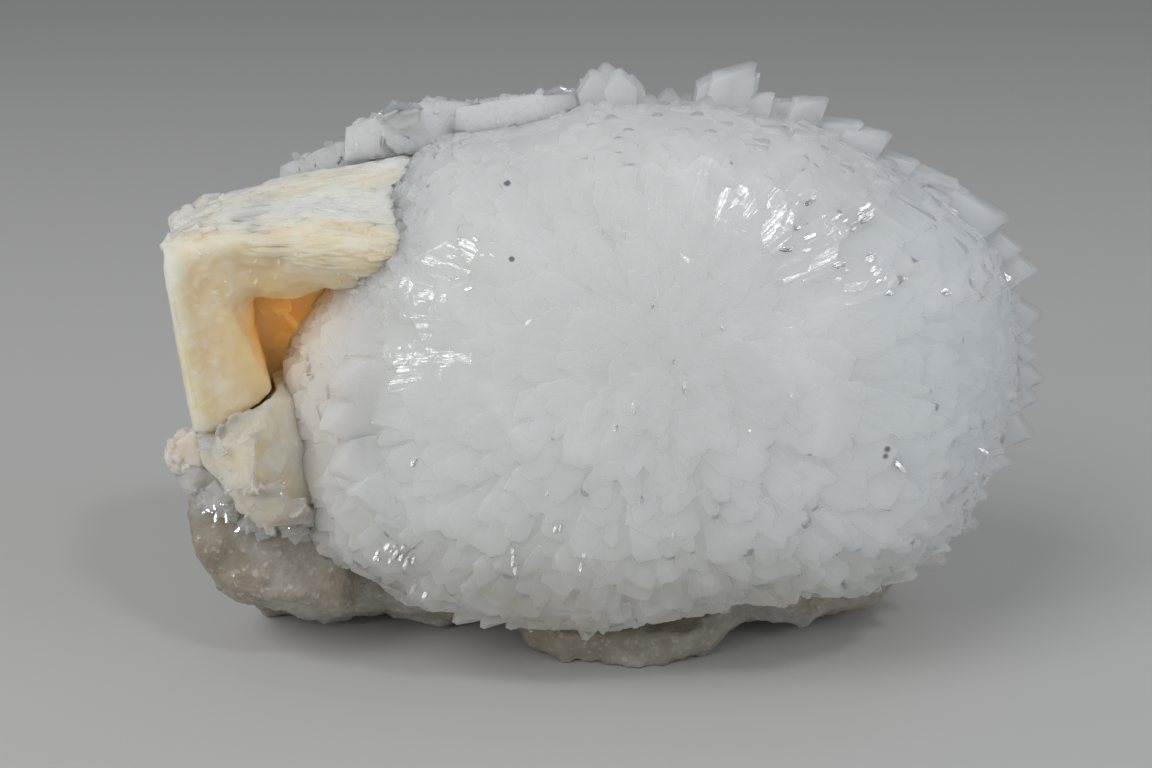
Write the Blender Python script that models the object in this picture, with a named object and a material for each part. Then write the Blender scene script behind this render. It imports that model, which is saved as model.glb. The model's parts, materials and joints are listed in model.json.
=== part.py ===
"""A goosecreekite specimen: a milky spray of bladed crystals on a block of quartz rock.

The specimen stands upright on the foot of its rock. Lists of sizes are millimetres in the
specimen's own frame: +X to the right, +Y to the back, +Z up, with z = 0 on the surface that
it stands on. When all is built, the middle of its box is moved over the origin.
"""

import math
import random

import bmesh
import bpy
from mathutils import Matrix, Vector, noise

MM = 0.001
GAP = 0.3  # between pieces that touch
SHARP_LIMIT = 1.8  # a grown copy's corner moves at most this many gaps

# The spray: an egg-shaped fan of blades that grew from one nucleus
NUCLEUS = (3.0, 2.0, 24.0)
SPRAY_FRONT = 15.5  # how far the dome bulges in front of its nucleus
SPRAY_BACK = 7.0
CORE_DEPTH = 1.2  # the solid middle ends this far under the blade tips
BLADE_COUNT = 200
BLADE_LENGTH = 8.0
BLADE_WIDTH = (4.6, 7.6)
BLADE_THICKNESS = (1.3, 1.8)
BLADE_ROOT = 0.7  # width of a blade at its root, as a share of its greatest width
BLADE_BACK = 0.6  # width of its back face, as a share of the front face
BLADE_ROLL = 22  # degrees to either side
HEMISPHERE = (28, 21)  # half width and half height that the blades are spread over
BEHIND = 0.28  # the blades go on to this far behind the dome's own equator
BULGE = 2.3  # power of the dome's curve from rim to front; 2 would be an ellipse
AXIS_TILT = 22  # degrees by which the axis of the dome points up from straight ahead
SHINGLE = 0.3  # how steeply a blade in the middle of the dome rises from it
LOWER_FORWARD = 0.24  # how far forward the crystals under the dome point
GOLDEN_ANGLE = math.pi * (3 - math.sqrt(5))

# The cream crystal's sheaf: where its strands start and end, from the back over the crest
STRANDS = 10
SHEAF_LEFT = [(-27.5, 2.2, 36.8), (-27.0, -6.4, 35.4), (-23.4, -4.6, 32.4)]
SHEAF_RIGHT = [(-13.6, 2.2, 39.8), (-11.8, -6.6, 35.6), (-15.6, -5.2, 32.4)]

# The rock's surface: depth and grain in millimetres and octaves of its two noises
ROCK_GRID = 0.9
ROCK_LUMPS = (2.4, 12.0, 1)
ROCK_GRAIN = (0.8, 4.5, 2)
ROCK_KEPT = 0.062  # share of the grid's faces that is kept

# The strip of rock that the small quartz crystals grew on
QUARTZ_POINTS = 16
QUARTZ_SIZE = (0.45, 0.85)  # radius
QUARTZ_STRIP = [(-29.8, -3.0, 16.6), (-26.0, -3.6, 14.2), (-21.8, -3.4, 13.8)]

# Rim of the spray, seen from the front: angle from +X in degrees, distance from the nucleus
RIM = [
    (0, 28.8),
    (18, 28.4),
    (30, 26.4),
    (40, 24.2),
    (55, 22.9),
    (68, 21.5),
    (90, 20.8),
    (112, 20.2),
    (135, 23.2),
    (160, 24.0),
    (180, 27.0),
    (207, 28.6),
    (220, 26.2),
    (240, 22.2),
    (258, 20.8),
    (275, 19.4),
    (292, 19.4),
    (306, 21.6),
    (320, 25.6),
    (333, 28.2),
    (346, 28.4),
]

# Crystals that hang over the rock below the dome: angle, distance of the tip, width
LOWER_CRYSTALS = [
    (204.0, 26.6, 4.6),
    (209.5, 27.2, 4.0),
    (214.5, 25.6, 3.6),
    (220.5, 25.0, 3.4),
    (225.5, 24.6, 4.2),
    (235.0, 23.4, 3.2),
    (239.5, 22.6, 2.6),
    (245.0, 21.8, 3.4),
    (258.0, 20.7, 2.6),
    (268.0, 19.4, 4.0),
    (286.0, 19.5, 4.2),
    (308.0, 21.9, 4.4),
    (322.0, 25.2, 4.0),
]

# Crystals that stand out along the rim: angle, distance of the tip, width of the blade
RIM_CRYSTALS = [
    (99.5, 22.1, 4.6),
    (95.5, 22.3, 4.4),
    (75.0, 23.2, 3.6),
    (68.5, 22.1, 2.6),
    (58.8, 23.5, 2.4),
    (52.5, 23.6, 3.4),
    (47.5, 24.4, 3.2),
    (40.0, 24.7, 2.6),
    (35.0, 25.9, 3.4),
    (31.0, 26.6, 2.2),
    (26.6, 28.4, 4.4),
    (19.8, 28.8, 2.4),
    (16.2, 29.7, 3.2),
    (8.0, 29.5, 4.2),
    (4.6, 29.0, 1.8),
    (2.0, 29.0, 2.4),
    (358.6, 29.6, 3.4),
    (354.8, 29.8, 3.2),
    (349.6, 30.0, 3.4),
    (343.6, 28.7, 3.2),
    (337.5, 27.8, 3.0),
    (331.0, 28.9, 4.6),
    (324.6, 27.8, 3.8),
]


def place(point):
    """A point of the specimen's own frame, in metres."""
    return Vector(point) * MM


def clear_scene():
    for obj in list(bpy.data.objects):
        bpy.data.objects.remove(obj)


def finish_material(name, colour, roughness, transmission=0.0):
    material = bpy.data.materials.new(name)
    material.use_nodes = True
    shader = material.node_tree.nodes["Principled BSDF"]
    shader.inputs["Base Color"].default_value = (*colour, 1)
    shader.inputs["Roughness"].default_value = roughness
    shader.inputs["Metallic"].default_value = 0
    shader.inputs["Transmission Weight"].default_value = transmission
    return material


def object_of(name, bm):
    """An object that holds the finished bmesh."""
    mesh = bpy.data.meshes.new(name)
    bm.to_mesh(mesh)
    bm.free()
    obj = bpy.data.objects.new(name, mesh)
    bpy.context.scene.collection.objects.link(obj)
    return obj


def bmesh_of(obj):
    bm = bmesh.new()
    bm.from_mesh(obj.data)
    return bm


def hull(name, corners):
    """A crystal or block whose flat faces close round a few corners."""
    bm = bmesh.new()
    for corner in corners:
        bm.verts.new(place(corner))
    found = bmesh.ops.convex_hull(bm, input=bm.verts)
    spare = {item for item in found["geom_interior"] + found["geom_unused"]}
    bmesh.ops.delete(bm, geom=[v for v in spare if isinstance(v, bmesh.types.BMVert)])
    bmesh.ops.recalc_face_normals(bm, faces=bm.faces)
    return object_of(name, bm)


def settle(obj):
    """Replaces the object's mesh with the one that its modifiers make."""
    graph = bpy.context.evaluated_depsgraph_get()
    mesh = bpy.data.meshes.new_from_object(obj.evaluated_get(graph))
    obj.modifiers.clear()
    obj.data = mesh


def combine(obj, others, operation, solver="EXACT"):
    """Joins the other objects to this one, or cuts them from it, and removes them."""
    group = bpy.data.collections.new(obj.name + "_others")
    for other in others:
        group.objects.link(other)
    modifier = obj.modifiers.new(operation.lower(), "BOOLEAN")
    modifier.operation = operation
    modifier.operand_type = "COLLECTION"
    modifier.collection = group
    modifier.solver = solver
    settle(obj)
    for other in others:
        bpy.data.objects.remove(other)
    bpy.data.collections.remove(group)


def grown(obj):
    """A copy of a solid that is larger all round by the gap, to cut room for that solid."""
    bm = bmesh_of(obj)
    bm.normal_update()
    moves = [v.normal * GAP * MM * min(v.calc_shell_factor(), SHARP_LIMIT) for v in bm.verts]
    for vertex, move in zip(bm.verts, moves):
        vertex.co += move
    return object_of(obj.name + "_room", bm)


def joined(solids, rooms):
    """One crystal of overlapping solids, with the rooms of its neighbours cut from it.

    Returns the crystal and the larger copies of its solids, the rooms that it needs itself.
    """
    own_rooms = [grown(solid) for solid in solids]
    combine(solids[0], solids[1:], "UNION")
    make_room(solids[0], rooms)
    return solids[0], own_rooms


def make_room(obj, rooms):
    """Cuts the rooms of the neighbours from a solid, so that they meet with a small gap."""
    cutters = [object_of("cutter", bmesh_of(room)) for room in rooms]
    combine(obj, cutters, "DIFFERENCE", "MANIFOLD")
    keep_largest(obj)


def keep_largest(obj):
    """Removes the crumbs that a cut leaves beside the main body."""
    bm = bmesh_of(obj)
    unseen = set(bm.verts)
    bodies = []
    while unseen:
        body = set()
        front = [unseen.pop()]
        while front:
            vertex = front.pop()
            body.add(vertex)
            joined = {edge.other_vert(vertex) for edge in vertex.link_edges} & unseen
            unseen -= joined
            front.extend(joined)
        bodies.append(body)
    largest = max(bodies, key=len)
    crumbs = [v for v in bm.verts if v not in largest]
    bmesh.ops.delete(bm, geom=crumbs)
    bm.to_mesh(obj.data)
    bm.free()


def rim_reach(angle):
    """The rim's distance from the nucleus at an angle, eased between the listed points."""
    angle %= 360
    after = next((i for i, (at, _) in enumerate(RIM) if at > angle), 0)
    (a, near), (b, far) = RIM[after - 1], RIM[after]
    share = ((angle - a) % 360) / ((b - a) % 360)
    ease = share * share * (3 - 2 * share)
    return near + (far - near) * ease


def spray_reach(direction):
    """How far the spray reaches from its nucleus in a direction."""
    across = math.hypot(direction.x, direction.z)
    rim = rim_reach(math.degrees(math.atan2(direction.z, direction.x)))
    depth = SPRAY_FRONT if direction.y < 0 else SPRAY_BACK
    total = (across / rim) ** BULGE + (abs(direction.y) / depth) ** BULGE
    return total ** (-1 / BULGE)


def blade(name, tip, axis, width, thickness, lean, roll, blunt=0.3, pitch=0.34):
    """A flat crystal, broad in front and narrower behind, that ends at its tip in a skewed edge."""
    wide = Matrix.Rotation(roll, 3, axis) @ axis.cross(Vector((0, -1, 0))).normalized()
    front = wide.cross(axis).normalized()
    half = width / 2
    slope = pitch * width
    corners = [tip + wide * half * (lean + side) for side in (-blunt, blunt)]
    for size, below in ((BLADE_ROOT, BLADE_LENGTH), (1.0, slope)):
        for side in (-1, 1):
            edge = tip + wide * side * half * size - axis * below
            corners.append(edge)
            corners.append(edge - wide * side * half * (1 - BLADE_BACK) - front * thickness)
    return hull(name, corners)


def spray_core():
    """The solid middle of the spray, from which the blade tips stand out."""
    bm = bmesh.new()
    bmesh.ops.create_icosphere(bm, subdivisions=3, radius=1)
    for vertex in bm.verts:
        direction = vertex.co.normalized()
        reach = spray_reach(direction) - CORE_DEPTH
        vertex.co = place(Vector(NUCLEUS) + direction * reach)
    return object_of("goosecreekite_spray", bm)


def scattered_blades(draw):
    """Blades spread evenly round the axis of the dome, to a little way behind its rim."""
    tilt = math.radians(AXIS_TILT)
    pole = Vector((0, -math.cos(tilt), math.sin(tilt)))
    upward = Vector((0, math.sin(tilt), math.cos(tilt)))
    blades = []
    for i in range(BLADE_COUNT):
        forward = 1 - (1 + BEHIND) * (i + 0.5) / BLADE_COUNT
        turn = i * GOLDEN_ANGLE + draw.uniform(-0.12, 0.12)
        outward = Vector((math.cos(turn), 0, 0)) + upward * math.sin(turn)
        spot = pole * forward + outward * math.sqrt(1 - forward * forward)
        stretched = (spot.x * HEMISPHERE[0], spot.y * SPRAY_FRONT, spot.z * HEMISPHERE[1])
        direction = Vector(stretched).normalized()
        at_listed_rim = abs(direction.y) < 0.3 and direction.x > 0 and direction.z > -0.6
        swing = -1.3 if at_listed_rim else draw.uniform(-0.4, 0.4)
        across = (direction - pole * direction.dot(pole)).normalized()
        axis = (across + pole * SHINGLE * forward).normalized()
        blades.append(
            blade(
                f"blade_{i}",
                Vector(NUCLEUS) + direction * (spray_reach(direction) + swing),
                axis,
                draw.uniform(*BLADE_WIDTH),
                draw.uniform(*BLADE_THICKNESS),
                draw.uniform(-0.6, 0.6),
                math.radians(draw.uniform(-BLADE_ROLL, BLADE_ROLL)),
            )
        )
    return blades


def rim_blades(draw, crystals, forward):
    """The crystals whose tips make the saw-toothed outline."""
    blades = []
    for angle, reach, width in crystals:
        turn = math.radians(angle)
        ahead = forward + draw.uniform(0, 0.07)
        direction = Vector((math.cos(turn), -ahead, math.sin(turn))).normalized()
        blades.append(
            blade(
                f"rim_{angle}",
                Vector(NUCLEUS) + direction * reach,
                direction,
                width,
                draw.uniform(1.6, 2.4),
                0.5 * math.sin(turn * 2),
                math.radians(draw.uniform(-12, 12)),
                blunt=0.12,
                pitch=0.5,
            )
        )
    return blades


def make_spray(rooms):
    """The spray. The exact solver leaves open edges where this many blades cross."""
    draw = random.Random(7)
    spray = spray_core()
    blades = scattered_blades(draw)
    blades += rim_blades(draw, RIM_CRYSTALS, 0.0)
    blades += rim_blades(draw, LOWER_CRYSTALS, LOWER_FORWARD)
    combine(spray, blades, "UNION", "MANIFOLD")
    make_room(spray, rooms)
    return spray


def roughen(obj, depth, grain, octaves, keep_front=False):
    """Pushes the surface in and out by a fractal noise.

    With keep_front, the noise starts 4 mm behind the nucleus and has its full depth at 12 mm.
    """
    for vertex in obj.data.vertices:
        lift = noise.fractal(vertex.co / (grain * MM), 0.9, 2.1, octaves)
        behind = (vertex.co.y / MM - 4) / 8
        share = min(max(behind, 0), 1) if keep_front else 1
        vertex.co += vertex.normal * lift * share * depth * MM


def add_modifier(obj, kind, **settings):
    modifier = obj.modifiers.new(kind.lower(), kind)
    for name, value in settings.items():
        setattr(modifier, name, value)
    settle(obj)


def quartz_point(name, foot, axis, radius, length):
    """A six-sided prism that ends in a pyramid."""
    side = axis.orthogonal().normalized()
    turns = [Matrix.Rotation(math.radians(60 * i), 3, axis) for i in range(6)]
    ring = [turn @ side * radius for turn in turns]
    tip = foot + axis * length
    low = [foot - axis * length * 0.5 + edge for edge in ring]
    high = [tip - axis * radius * 1.1 + edge for edge in ring]
    return hull(name, low + high + [tip])


def quartz_points(draw):
    """The small clear crystals in the hollow between the rock and the peach crystal."""
    points = []
    for i in range(QUARTZ_POINTS):
        foot = along(QUARTZ_STRIP, (i + 0.5) / QUARTZ_POINTS)
        foot = foot + Vector((0, draw.uniform(0.0, 1.4), draw.uniform(-0.9, 0.9)))
        axis = Vector((draw.uniform(-0.7, 0.3), -1, draw.uniform(-0.2, 0.8))).normalized()
        size = draw.uniform(*QUARTZ_SIZE)
        points.append(quartz_point(f"quartz_{i}", foot, axis, size, size * 2.4))
    return points


def along(path, share):
    """The point at a share of the way along a path of evenly spaced corners."""
    spot = share * (len(path) - 1)
    start = min(int(spot), len(path) - 2)
    return Vector(path[start]).lerp(Vector(path[start + 1]), spot - start)


def make_matrix():
    """The rock: a slab behind the spray, a block at the lower left and a foot in front."""
    slab = hull(
        "matrix",
        [
            (-26, 3, 9),
            (-26, 3, 22),
            (-21, 3, 32),
            (-8, 3, 38),
            (13, 3, 38),
            (23, 3, 32),
            (28, 3, 22),
            (27, 3, 10),
            (14, 3, 2),
            (-15, 3, 3),
            (-25, 12, -1),
            (23, 12, -1),
            (-26, 13, 9),
            (-22, 16, 20),
            (-13, 17, 30),
            (6, 18, 33),
            (18, 14, 30),
            (25, 13, 17),
            (22, 15, 3),
            (-20, 16, -1),
            (18, 16, -1),
        ],
    )
    back = hull(
        "back",
        [
            (-16, 10, 8),
            (-12, 12, 24),
            (4, 12, 26),
            (12, 11, 20),
            (14, 12, 6),
            (-8, 20.5, 14),
            (-4, 20.5, 20),
            (7, 21, 15),
            (8, 20, 8),
            (-9, 19, 3),
            (10, 18, -1),
            (-12, 17, -1),
        ],
    )
    block = hull(
        "block",
        [
            (-30.6, -3.4, 9.6),
            (-31.0, -3.0, 13.0),
            (-30.8, -3.0, 17.5),
            (-28.6, -3.6, 8.2),
            (-22.5, -3.2, 7.0),
            (-19.5, -2.6, 6.0),
            (-19.0, -2.6, 12.0),
            (-21.0, -3.0, 14.0),
            (-30.6, 8.0, 6.0),
            (-31.0, 8.0, 18.0),
            (-28.0, 10.5, -1.0),
            (-24.5, 14.0, -1.0),
            (-19.0, 14.0, -1.0),
            (-16.0, 6.0, 3.0),
            (-16.0, 6.0, 14.0),
        ],
    )
    foot = hull(
        "foot",
        [
            (-2.6, -0.4, -1.0),
            (6.2, -0.4, -1.0),
            (8.4, 2.0, -1.0),
            (-4.4, 3.0, -1.0),
            (-8.0, 3.0, 3.6),
            (11.5, 3.0, 2.8),
            (-3.4, -0.2, 3.2),
            (7.4, 0.0, 2.8),
            (-9.0, 12.0, 6.0),
            (12.0, 12.0, 6.0),
            (-1.0, 9.0, -1.0),
            (4.0, 9.0, -1.0),
        ],
    )
    combine(slab, [back, block, foot], "UNION")
    add_modifier(slab, "REMESH", mode="VOXEL", voxel_size=ROCK_GRID * MM)
    roughen(slab, *ROCK_LUMPS, keep_front=True)
    roughen(slab, *ROCK_GRAIN)
    add_modifier(slab, "DECIMATE", ratio=ROCK_KEPT)
    points = quartz_points(random.Random(3))
    rooms = [grown(solid) for solid in [slab] + points]
    combine(slab, points, "UNION", "MANIFOLD")
    ground = hull(
        "ground",
        [(x, y, z) for x in (-60, 60) for y in (-60, 60) for z in (-20, 0)],
    )
    combine(slab, [ground], "DIFFERENCE", "MANIFOLD")
    keep_largest(slab)
    return slab, rooms


def sheaf_strands(draw):
    """The strands that fan out from the left end of the sheaf to its ragged right end."""
    strands = []
    for i in range(STRANDS):
        share = (i + 0.5) / STRANDS
        start = along(SHEAF_LEFT, share)
        end = along(SHEAF_RIGHT, share) + Vector((draw.uniform(-1.2, 1.0), 0, 0))
        rise = draw.uniform(0.35, 0.6)
        corners = []
        for spot, half in ((start, 0.5), (end, 1.0)):
            for back, up in ((-half, 0), (half, 0), (-half, rise), (half, rise), (0, -half)):
                corners.append(spot + Vector((0, back - up, up)))
        corners.append(end + Vector((0.9, -0.2, 0.1)))
        strands.append(hull(f"strand_{i}", corners))
    return strands


def make_cream_crystal(rooms):
    """The sheaf along the top, the flat plate down the left side and the pit between them."""
    sheaf = hull(
        "cream_crystal",
        [
            (-32.0, 2.0, 35.6),
            (-29.8, 2.5, 36.4),
            (-26.0, 3.0, 36.8),
            (-22.6, 3.0, 38.4),
            (-18.4, 3.0, 39.4),
            (-13.4, 3.0, 40.0),
            (-26.6, -7.0, 35.4),
            (-20.5, -7.2, 36.2),
            (-12.0, -6.8, 35.6),
            (-11.0, -3.0, 34.0),
            (-14.0, -5.6, 33.4),
            (-18.0, -4.6, 31.6),
            (-30.0, 4.0, 32.5),
            (-12.0, 5.0, 32.0),
        ],
    )
    plate = hull(
        "plate",
        [
            (-29.7, -8.0, 35.6),
            (-28.4, -8.0, 22.1),
            (-26.2, -6.8, 22.1),
            (-23.4, -5.0, 24.4),
            (-24.0, -5.0, 26.0),
            (-26.9, -6.4, 32.4),
            (-27.6, -7.0, 35.4),
            (-31.4, 4.0, 35.0),
            (-30.6, 4.0, 20.5),
            (-25.4, 4.0, 22.0),
            (-27.4, 4.0, 32.0),
        ],
    )
    edge = hull(
        "edge",
        [
            (-29.7, -8.4, 35.0),
            (-28.7, -8.5, 34.6),
            (-28.4, -8.4, 22.4),
            (-27.5, -8.2, 22.8),
            (-29.8, -6.0, 34.0),
            (-28.4, -6.0, 34.0),
            (-27.4, -6.0, 23.0),
            (-28.6, -6.0, 23.0),
        ],
    )
    wall = hull(
        "wall",
        [
            (-31.6, 1.2, 35.2),
            (-13.0, 1.2, 37.0),
            (-14.0, 1.2, 22.0),
            (-30.6, 1.2, 20.8),
            (-30.8, 5.8, 34.6),
            (-27.0, 8.4, 35.4),
            (-14.0, 7.6, 38.4),
            (-15.0, 7.6, 23.0),
            (-26.4, 8.0, 23.0),
            (-29.8, 5.4, 22.0),
        ],
    )
    seed = hull(
        "seed",
        [
            (-23.2, 1.6, 27.4),
            (-21.4, 1.6, 28.6),
            (-21.6, 1.6, 26.8),
            (-22.6, -0.2, 28.0),
            (-21.8, -0.1, 27.2),
        ],
    )
    strands = sheaf_strands(random.Random(5))
    return joined([sheaf, plate, edge, wall, seed] + strands, rooms)


def make_peach_crystal(rooms):
    crystal = hull(
        "peach_crystal",
        [
            (-23.6, -5.6, 24.0),
            (-26.2, -7.4, 22.4),
            (-28.6, -6.6, 21.6),
            (-28.6, -6.4, 19.8),
            (-24.6, -7.0, 14.6),
            (-20.9, -5.4, 14.4),
            (-19.6, -4.0, 15.6),
            (-24.6, -8.8, 19.4),
            (-19.0, -2.0, 22.0),
            (-22.0, 3.0, 25.0),
            (-29.0, 3.0, 22.0),
            (-29.0, 3.0, 15.0),
            (-19.0, 3.0, 15.0),
        ],
    )
    steps = [
        hull(
            "upper_step",
            [
                (-27.8, -7.4, 21.0),
                (-25.6, -8.6, 21.6),
                (-24.2, -8.2, 22.4),
                (-24.4, -9.1, 18.6),
                (-26.4, -8.3, 18.0),
                (-24.8, -5.0, 21.0),
                (-26.0, -5.0, 18.6),
            ],
        ),
        hull(
            "lower_step",
            [
                (-25.2, -8.5, 17.2),
                (-23.4, -8.4, 17.8),
                (-21.8, -6.9, 16.0),
                (-23.8, -7.4, 14.8),
                (-24.2, -5.0, 16.4),
                (-22.0, -5.0, 16.4),
            ],
        ),
    ]
    return joined([crystal] + steps, rooms)


def make_side_knob(rooms):
    knob = hull(
        "side_knob",
        [
            (-32.2, -2.0, 18.6),
            (-31.8, -3.0, 17.4),
            (-31.2, -3.4, 19.8),
            (-29.6, -3.4, 20.9),
            (-29.2, -3.6, 17.4),
            (-30.8, -2.8, 17.0),
            (-31.6, 0.2, 17.6),
            (-30.8, 0.4, 19.6),
            (-28.6, 1.0, 20.4),
            (-28.6, 1.0, 17.0),
        ],
    )
    make_room(knob, rooms)
    return knob


def make_clear_ledge(rooms):
    ledge = hull(
        "clear_ledge",
        [
            (-18.4, 2.0, 41.9),
            (-18.8, 2.0, 38.0),
            (-16.6, 2.0, 42.5),
            (-14.2, 3.0, 43.3),
            (-12.2, 3.6, 43.7),
            (-9.6, 3.0, 43.5),
            (-9.6, 2.0, 36.0),
            (-17.8, 5.4, 41.6),
            (-18.2, 7.4, 39.2),
            (-14.6, 7.6, 42.0),
            (-9.8, 9.6, 40.2),
            (-18.4, 7.0, 35.0),
            (-13.0, 9.8, 36.0),
            (-9.0, 9.0, 35.0),
        ],
    )
    step = hull(
        "step",
        [
            (-23.6, 3.6, 38.8),
            (-22.4, 4.0, 39.0),
            (-19.4, 3.6, 40.6),
            (-17.0, 3.6, 40.6),
            (-17.0, 3.6, 36.0),
            (-23.8, 3.6, 36.0),
            (-22.0, 6.0, 38.8),
            (-21.0, 8.2, 37.0),
            (-17.0, 7.6, 40.0),
            (-17.0, 7.6, 35.0),
            (-22.6, 7.6, 35.0),
        ],
    )
    bar = hull(
        "bar",
        [
            (-10.5, 2.2, 43.3),
            (-5.0, 2.4, 44.2),
            (-0.5, 2.0, 44.5),
            (-0.5, 2.0, 36.0),
            (-11.0, 2.0, 36.0),
            (-10.5, 8.6, 42.4),
            (-6.0, 7.0, 43.0),
            (-3.6, 6.0, 43.8),
            (-2.2, 8.4, 41.0),
            (-10.5, 8.0, 35.2),
            (-1.6, 8.6, 35.2),
        ],
    )
    return joined([ledge, step, bar], rooms)


def centre_over_origin(objects):
    """Moves all pieces together, so that the middle of their box lies over the origin."""
    points = [v.co for obj in objects for v in obj.data.vertices]
    low = [min(point[i] for point in points) for i in range(3)]
    high = [max(point[i] for point in points) for i in range(3)]
    middle = Vector(((low[0] + high[0]) / 2, (low[1] + high[1]) / 2, low[2]))
    for obj in objects:
        obj.data.transform(Matrix.Translation(-middle))


def main():
    clear_scene()
    matrix, rock_rooms = make_matrix()
    cream, cream_rooms = make_cream_crystal(rock_rooms)
    peach, peach_rooms = make_peach_crystal(rock_rooms + cream_rooms)
    ledge, ledge_rooms = make_clear_ledge(rock_rooms + cream_rooms)
    knob = make_side_knob(rock_rooms + cream_rooms + peach_rooms)
    rooms = rock_rooms + cream_rooms + peach_rooms + ledge_rooms
    spray = make_spray(rooms)
    for room in rooms:
        bpy.data.objects.remove(room)
    centre_over_origin([matrix, cream, peach, knob, ledge, spray])
    finishes = {
        matrix: finish_material("sugary_quartz", (0.42, 0.39, 0.34), 0.5),
        spray: finish_material("milky_goosecreekite", (0.82, 0.84, 0.86), 0.3),
        cream: finish_material("cream_sheaf", (0.80, 0.66, 0.40), 0.4),
        peach: finish_material("peach_glass", (0.78, 0.62, 0.44), 0.15, 0.3),
        knob: finish_material("pale_knob", (0.80, 0.74, 0.66), 0.35),
        ledge: finish_material("clear_ledge", (0.74, 0.76, 0.78), 0.15, 0.4),
    }
    for obj, material in finishes.items():
        obj.data.materials.clear()
        obj.data.materials.append(material)


main()
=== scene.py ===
# %% [markdown]
# # A goosecreekite specimen
#
# The real thing fits in a palm: a milky white dome of overlapping crystal blades, a cream crystal
# that frays into silky strands, a glassy peach crystal, a clear one behind them, and the quartz
# rock that they all grew on. The solids give every crystal its size and place. This lesson makes
# the surfaces that the eye sees, with the solids as its measure.

import json
import math
import random

import bmesh
import bpy
from mathutils import Matrix, Vector, noise

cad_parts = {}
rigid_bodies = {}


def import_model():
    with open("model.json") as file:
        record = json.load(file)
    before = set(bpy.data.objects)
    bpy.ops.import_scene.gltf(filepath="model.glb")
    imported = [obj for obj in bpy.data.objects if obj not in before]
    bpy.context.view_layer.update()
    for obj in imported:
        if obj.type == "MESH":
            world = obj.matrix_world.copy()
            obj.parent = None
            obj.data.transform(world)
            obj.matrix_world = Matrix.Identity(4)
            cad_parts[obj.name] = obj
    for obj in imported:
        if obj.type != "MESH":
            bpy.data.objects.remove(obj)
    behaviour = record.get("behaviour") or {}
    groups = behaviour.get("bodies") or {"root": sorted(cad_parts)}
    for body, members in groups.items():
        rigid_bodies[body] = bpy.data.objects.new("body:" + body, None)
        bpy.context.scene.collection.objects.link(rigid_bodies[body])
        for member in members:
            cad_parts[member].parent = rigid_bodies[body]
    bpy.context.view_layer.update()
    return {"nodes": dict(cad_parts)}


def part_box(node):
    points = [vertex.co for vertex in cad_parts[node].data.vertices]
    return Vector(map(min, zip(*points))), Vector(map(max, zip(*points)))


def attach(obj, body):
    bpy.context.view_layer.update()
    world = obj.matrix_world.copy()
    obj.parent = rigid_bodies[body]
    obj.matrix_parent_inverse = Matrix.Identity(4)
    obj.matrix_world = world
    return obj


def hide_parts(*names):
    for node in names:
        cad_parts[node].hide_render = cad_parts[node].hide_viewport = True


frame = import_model()

# %% [markdown]
# ## One frame for all sizes
#
# Crystals are measured in millimetres from the foot that the specimen stands on. The frame has its
# middle elsewhere, so one corner that is known in both, the lowest corner of the peach crystal,
# gives the shift between them. Reading it from the frame is safer than typing it in, because it
# stays true when the solids change.

# %% Millimetres to the frame
MM = 0.001
PEACH_CORNER = Vector((-29.0, -9.1, 0.0))
found = Vector(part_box("peach_crystal")[0]) / MM - PEACH_CORNER
SHIFT = Vector((found.x, found.y, 0.0))
TO_FRAME = Matrix.Scale(MM, 4) @ Matrix.Translation(SHIFT)
print("shift in mm:", [round(value, 3) for value in SHIFT])

# %% [markdown]
# ## The camera
#
# The photograph was taken from close by, a little above the specimen, so near edges look larger
# than far ones. A camera at the same distance and the same tilt is the only way to get the same
# outline. Setting the lens from the wanted view and then moving nearer or further would bend it.

# %% Camera
EYE = Vector((-1.9, -110.07, 58.78))
LOOKS_DOWN = 17.9
camera = bpy.data.objects.new("camera", bpy.data.cameras.new("camera"))
camera.data.sensor_width = 36
camera.data.lens = 48.75
camera.data.clip_start = 0.005
camera.location = TO_FRAME @ EYE
camera.rotation_euler = (math.radians(90 - LOOKS_DOWN), 0, 0)
bpy.context.scene.collection.objects.link(camera)
bpy.context.scene.camera = camera
print("camera at", [round(value, 4) for value in camera.location])

# %% [markdown]
# ## Working by hand, in code
#
# Every tool acts on what is selected, and the solids are selected when the file opens. Three small
# helpers keep that in order: one picks a single object, one opens it with the points picked that
# pass a test, and one adds a modifier and applies it.

# %% Selecting and shaping
def only(piece):
    """Makes a piece the only one that is selected."""
    bpy.ops.object.select_all(action="DESELECT")
    piece.select_set(True)
    bpy.context.view_layer.objects.active = piece


def edit_where(piece, test):
    """Opens a piece in edit mode with the points selected that pass the test."""
    only(piece)
    bpy.ops.object.mode_set(mode="EDIT")
    bpy.ops.mesh.select_mode(type="VERT")
    bpy.ops.mesh.select_all(action="DESELECT")
    bm = bmesh.from_edit_mesh(piece.data)
    for vertex in bm.verts:
        vertex.select_set(test(vertex.co))
    bm.select_flush(True)
    bmesh.update_edit_mesh(piece.data)


def leave_edit():
    bpy.ops.object.mode_set(mode="OBJECT")


def apply_modifier(piece, kind, **settings):
    modifier = piece.modifiers.new(kind.title(), kind)
    for name, value in settings.items():
        setattr(modifier, name, value)
    only(piece)
    bpy.ops.object.modifier_apply(modifier=modifier.name)


# %% [markdown]
# ## Floor and light
#
# A plain pale floor and soft light let the stone speak. Milky stone shows its relief only where
# the light comes from one side, so a large soft light stands high at the left. Crystal faces
# sparkle when they mirror something small and bright, so two small lights stand high at the right
# and low at the left, and the soft lights are kept out of the mirror images.

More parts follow.
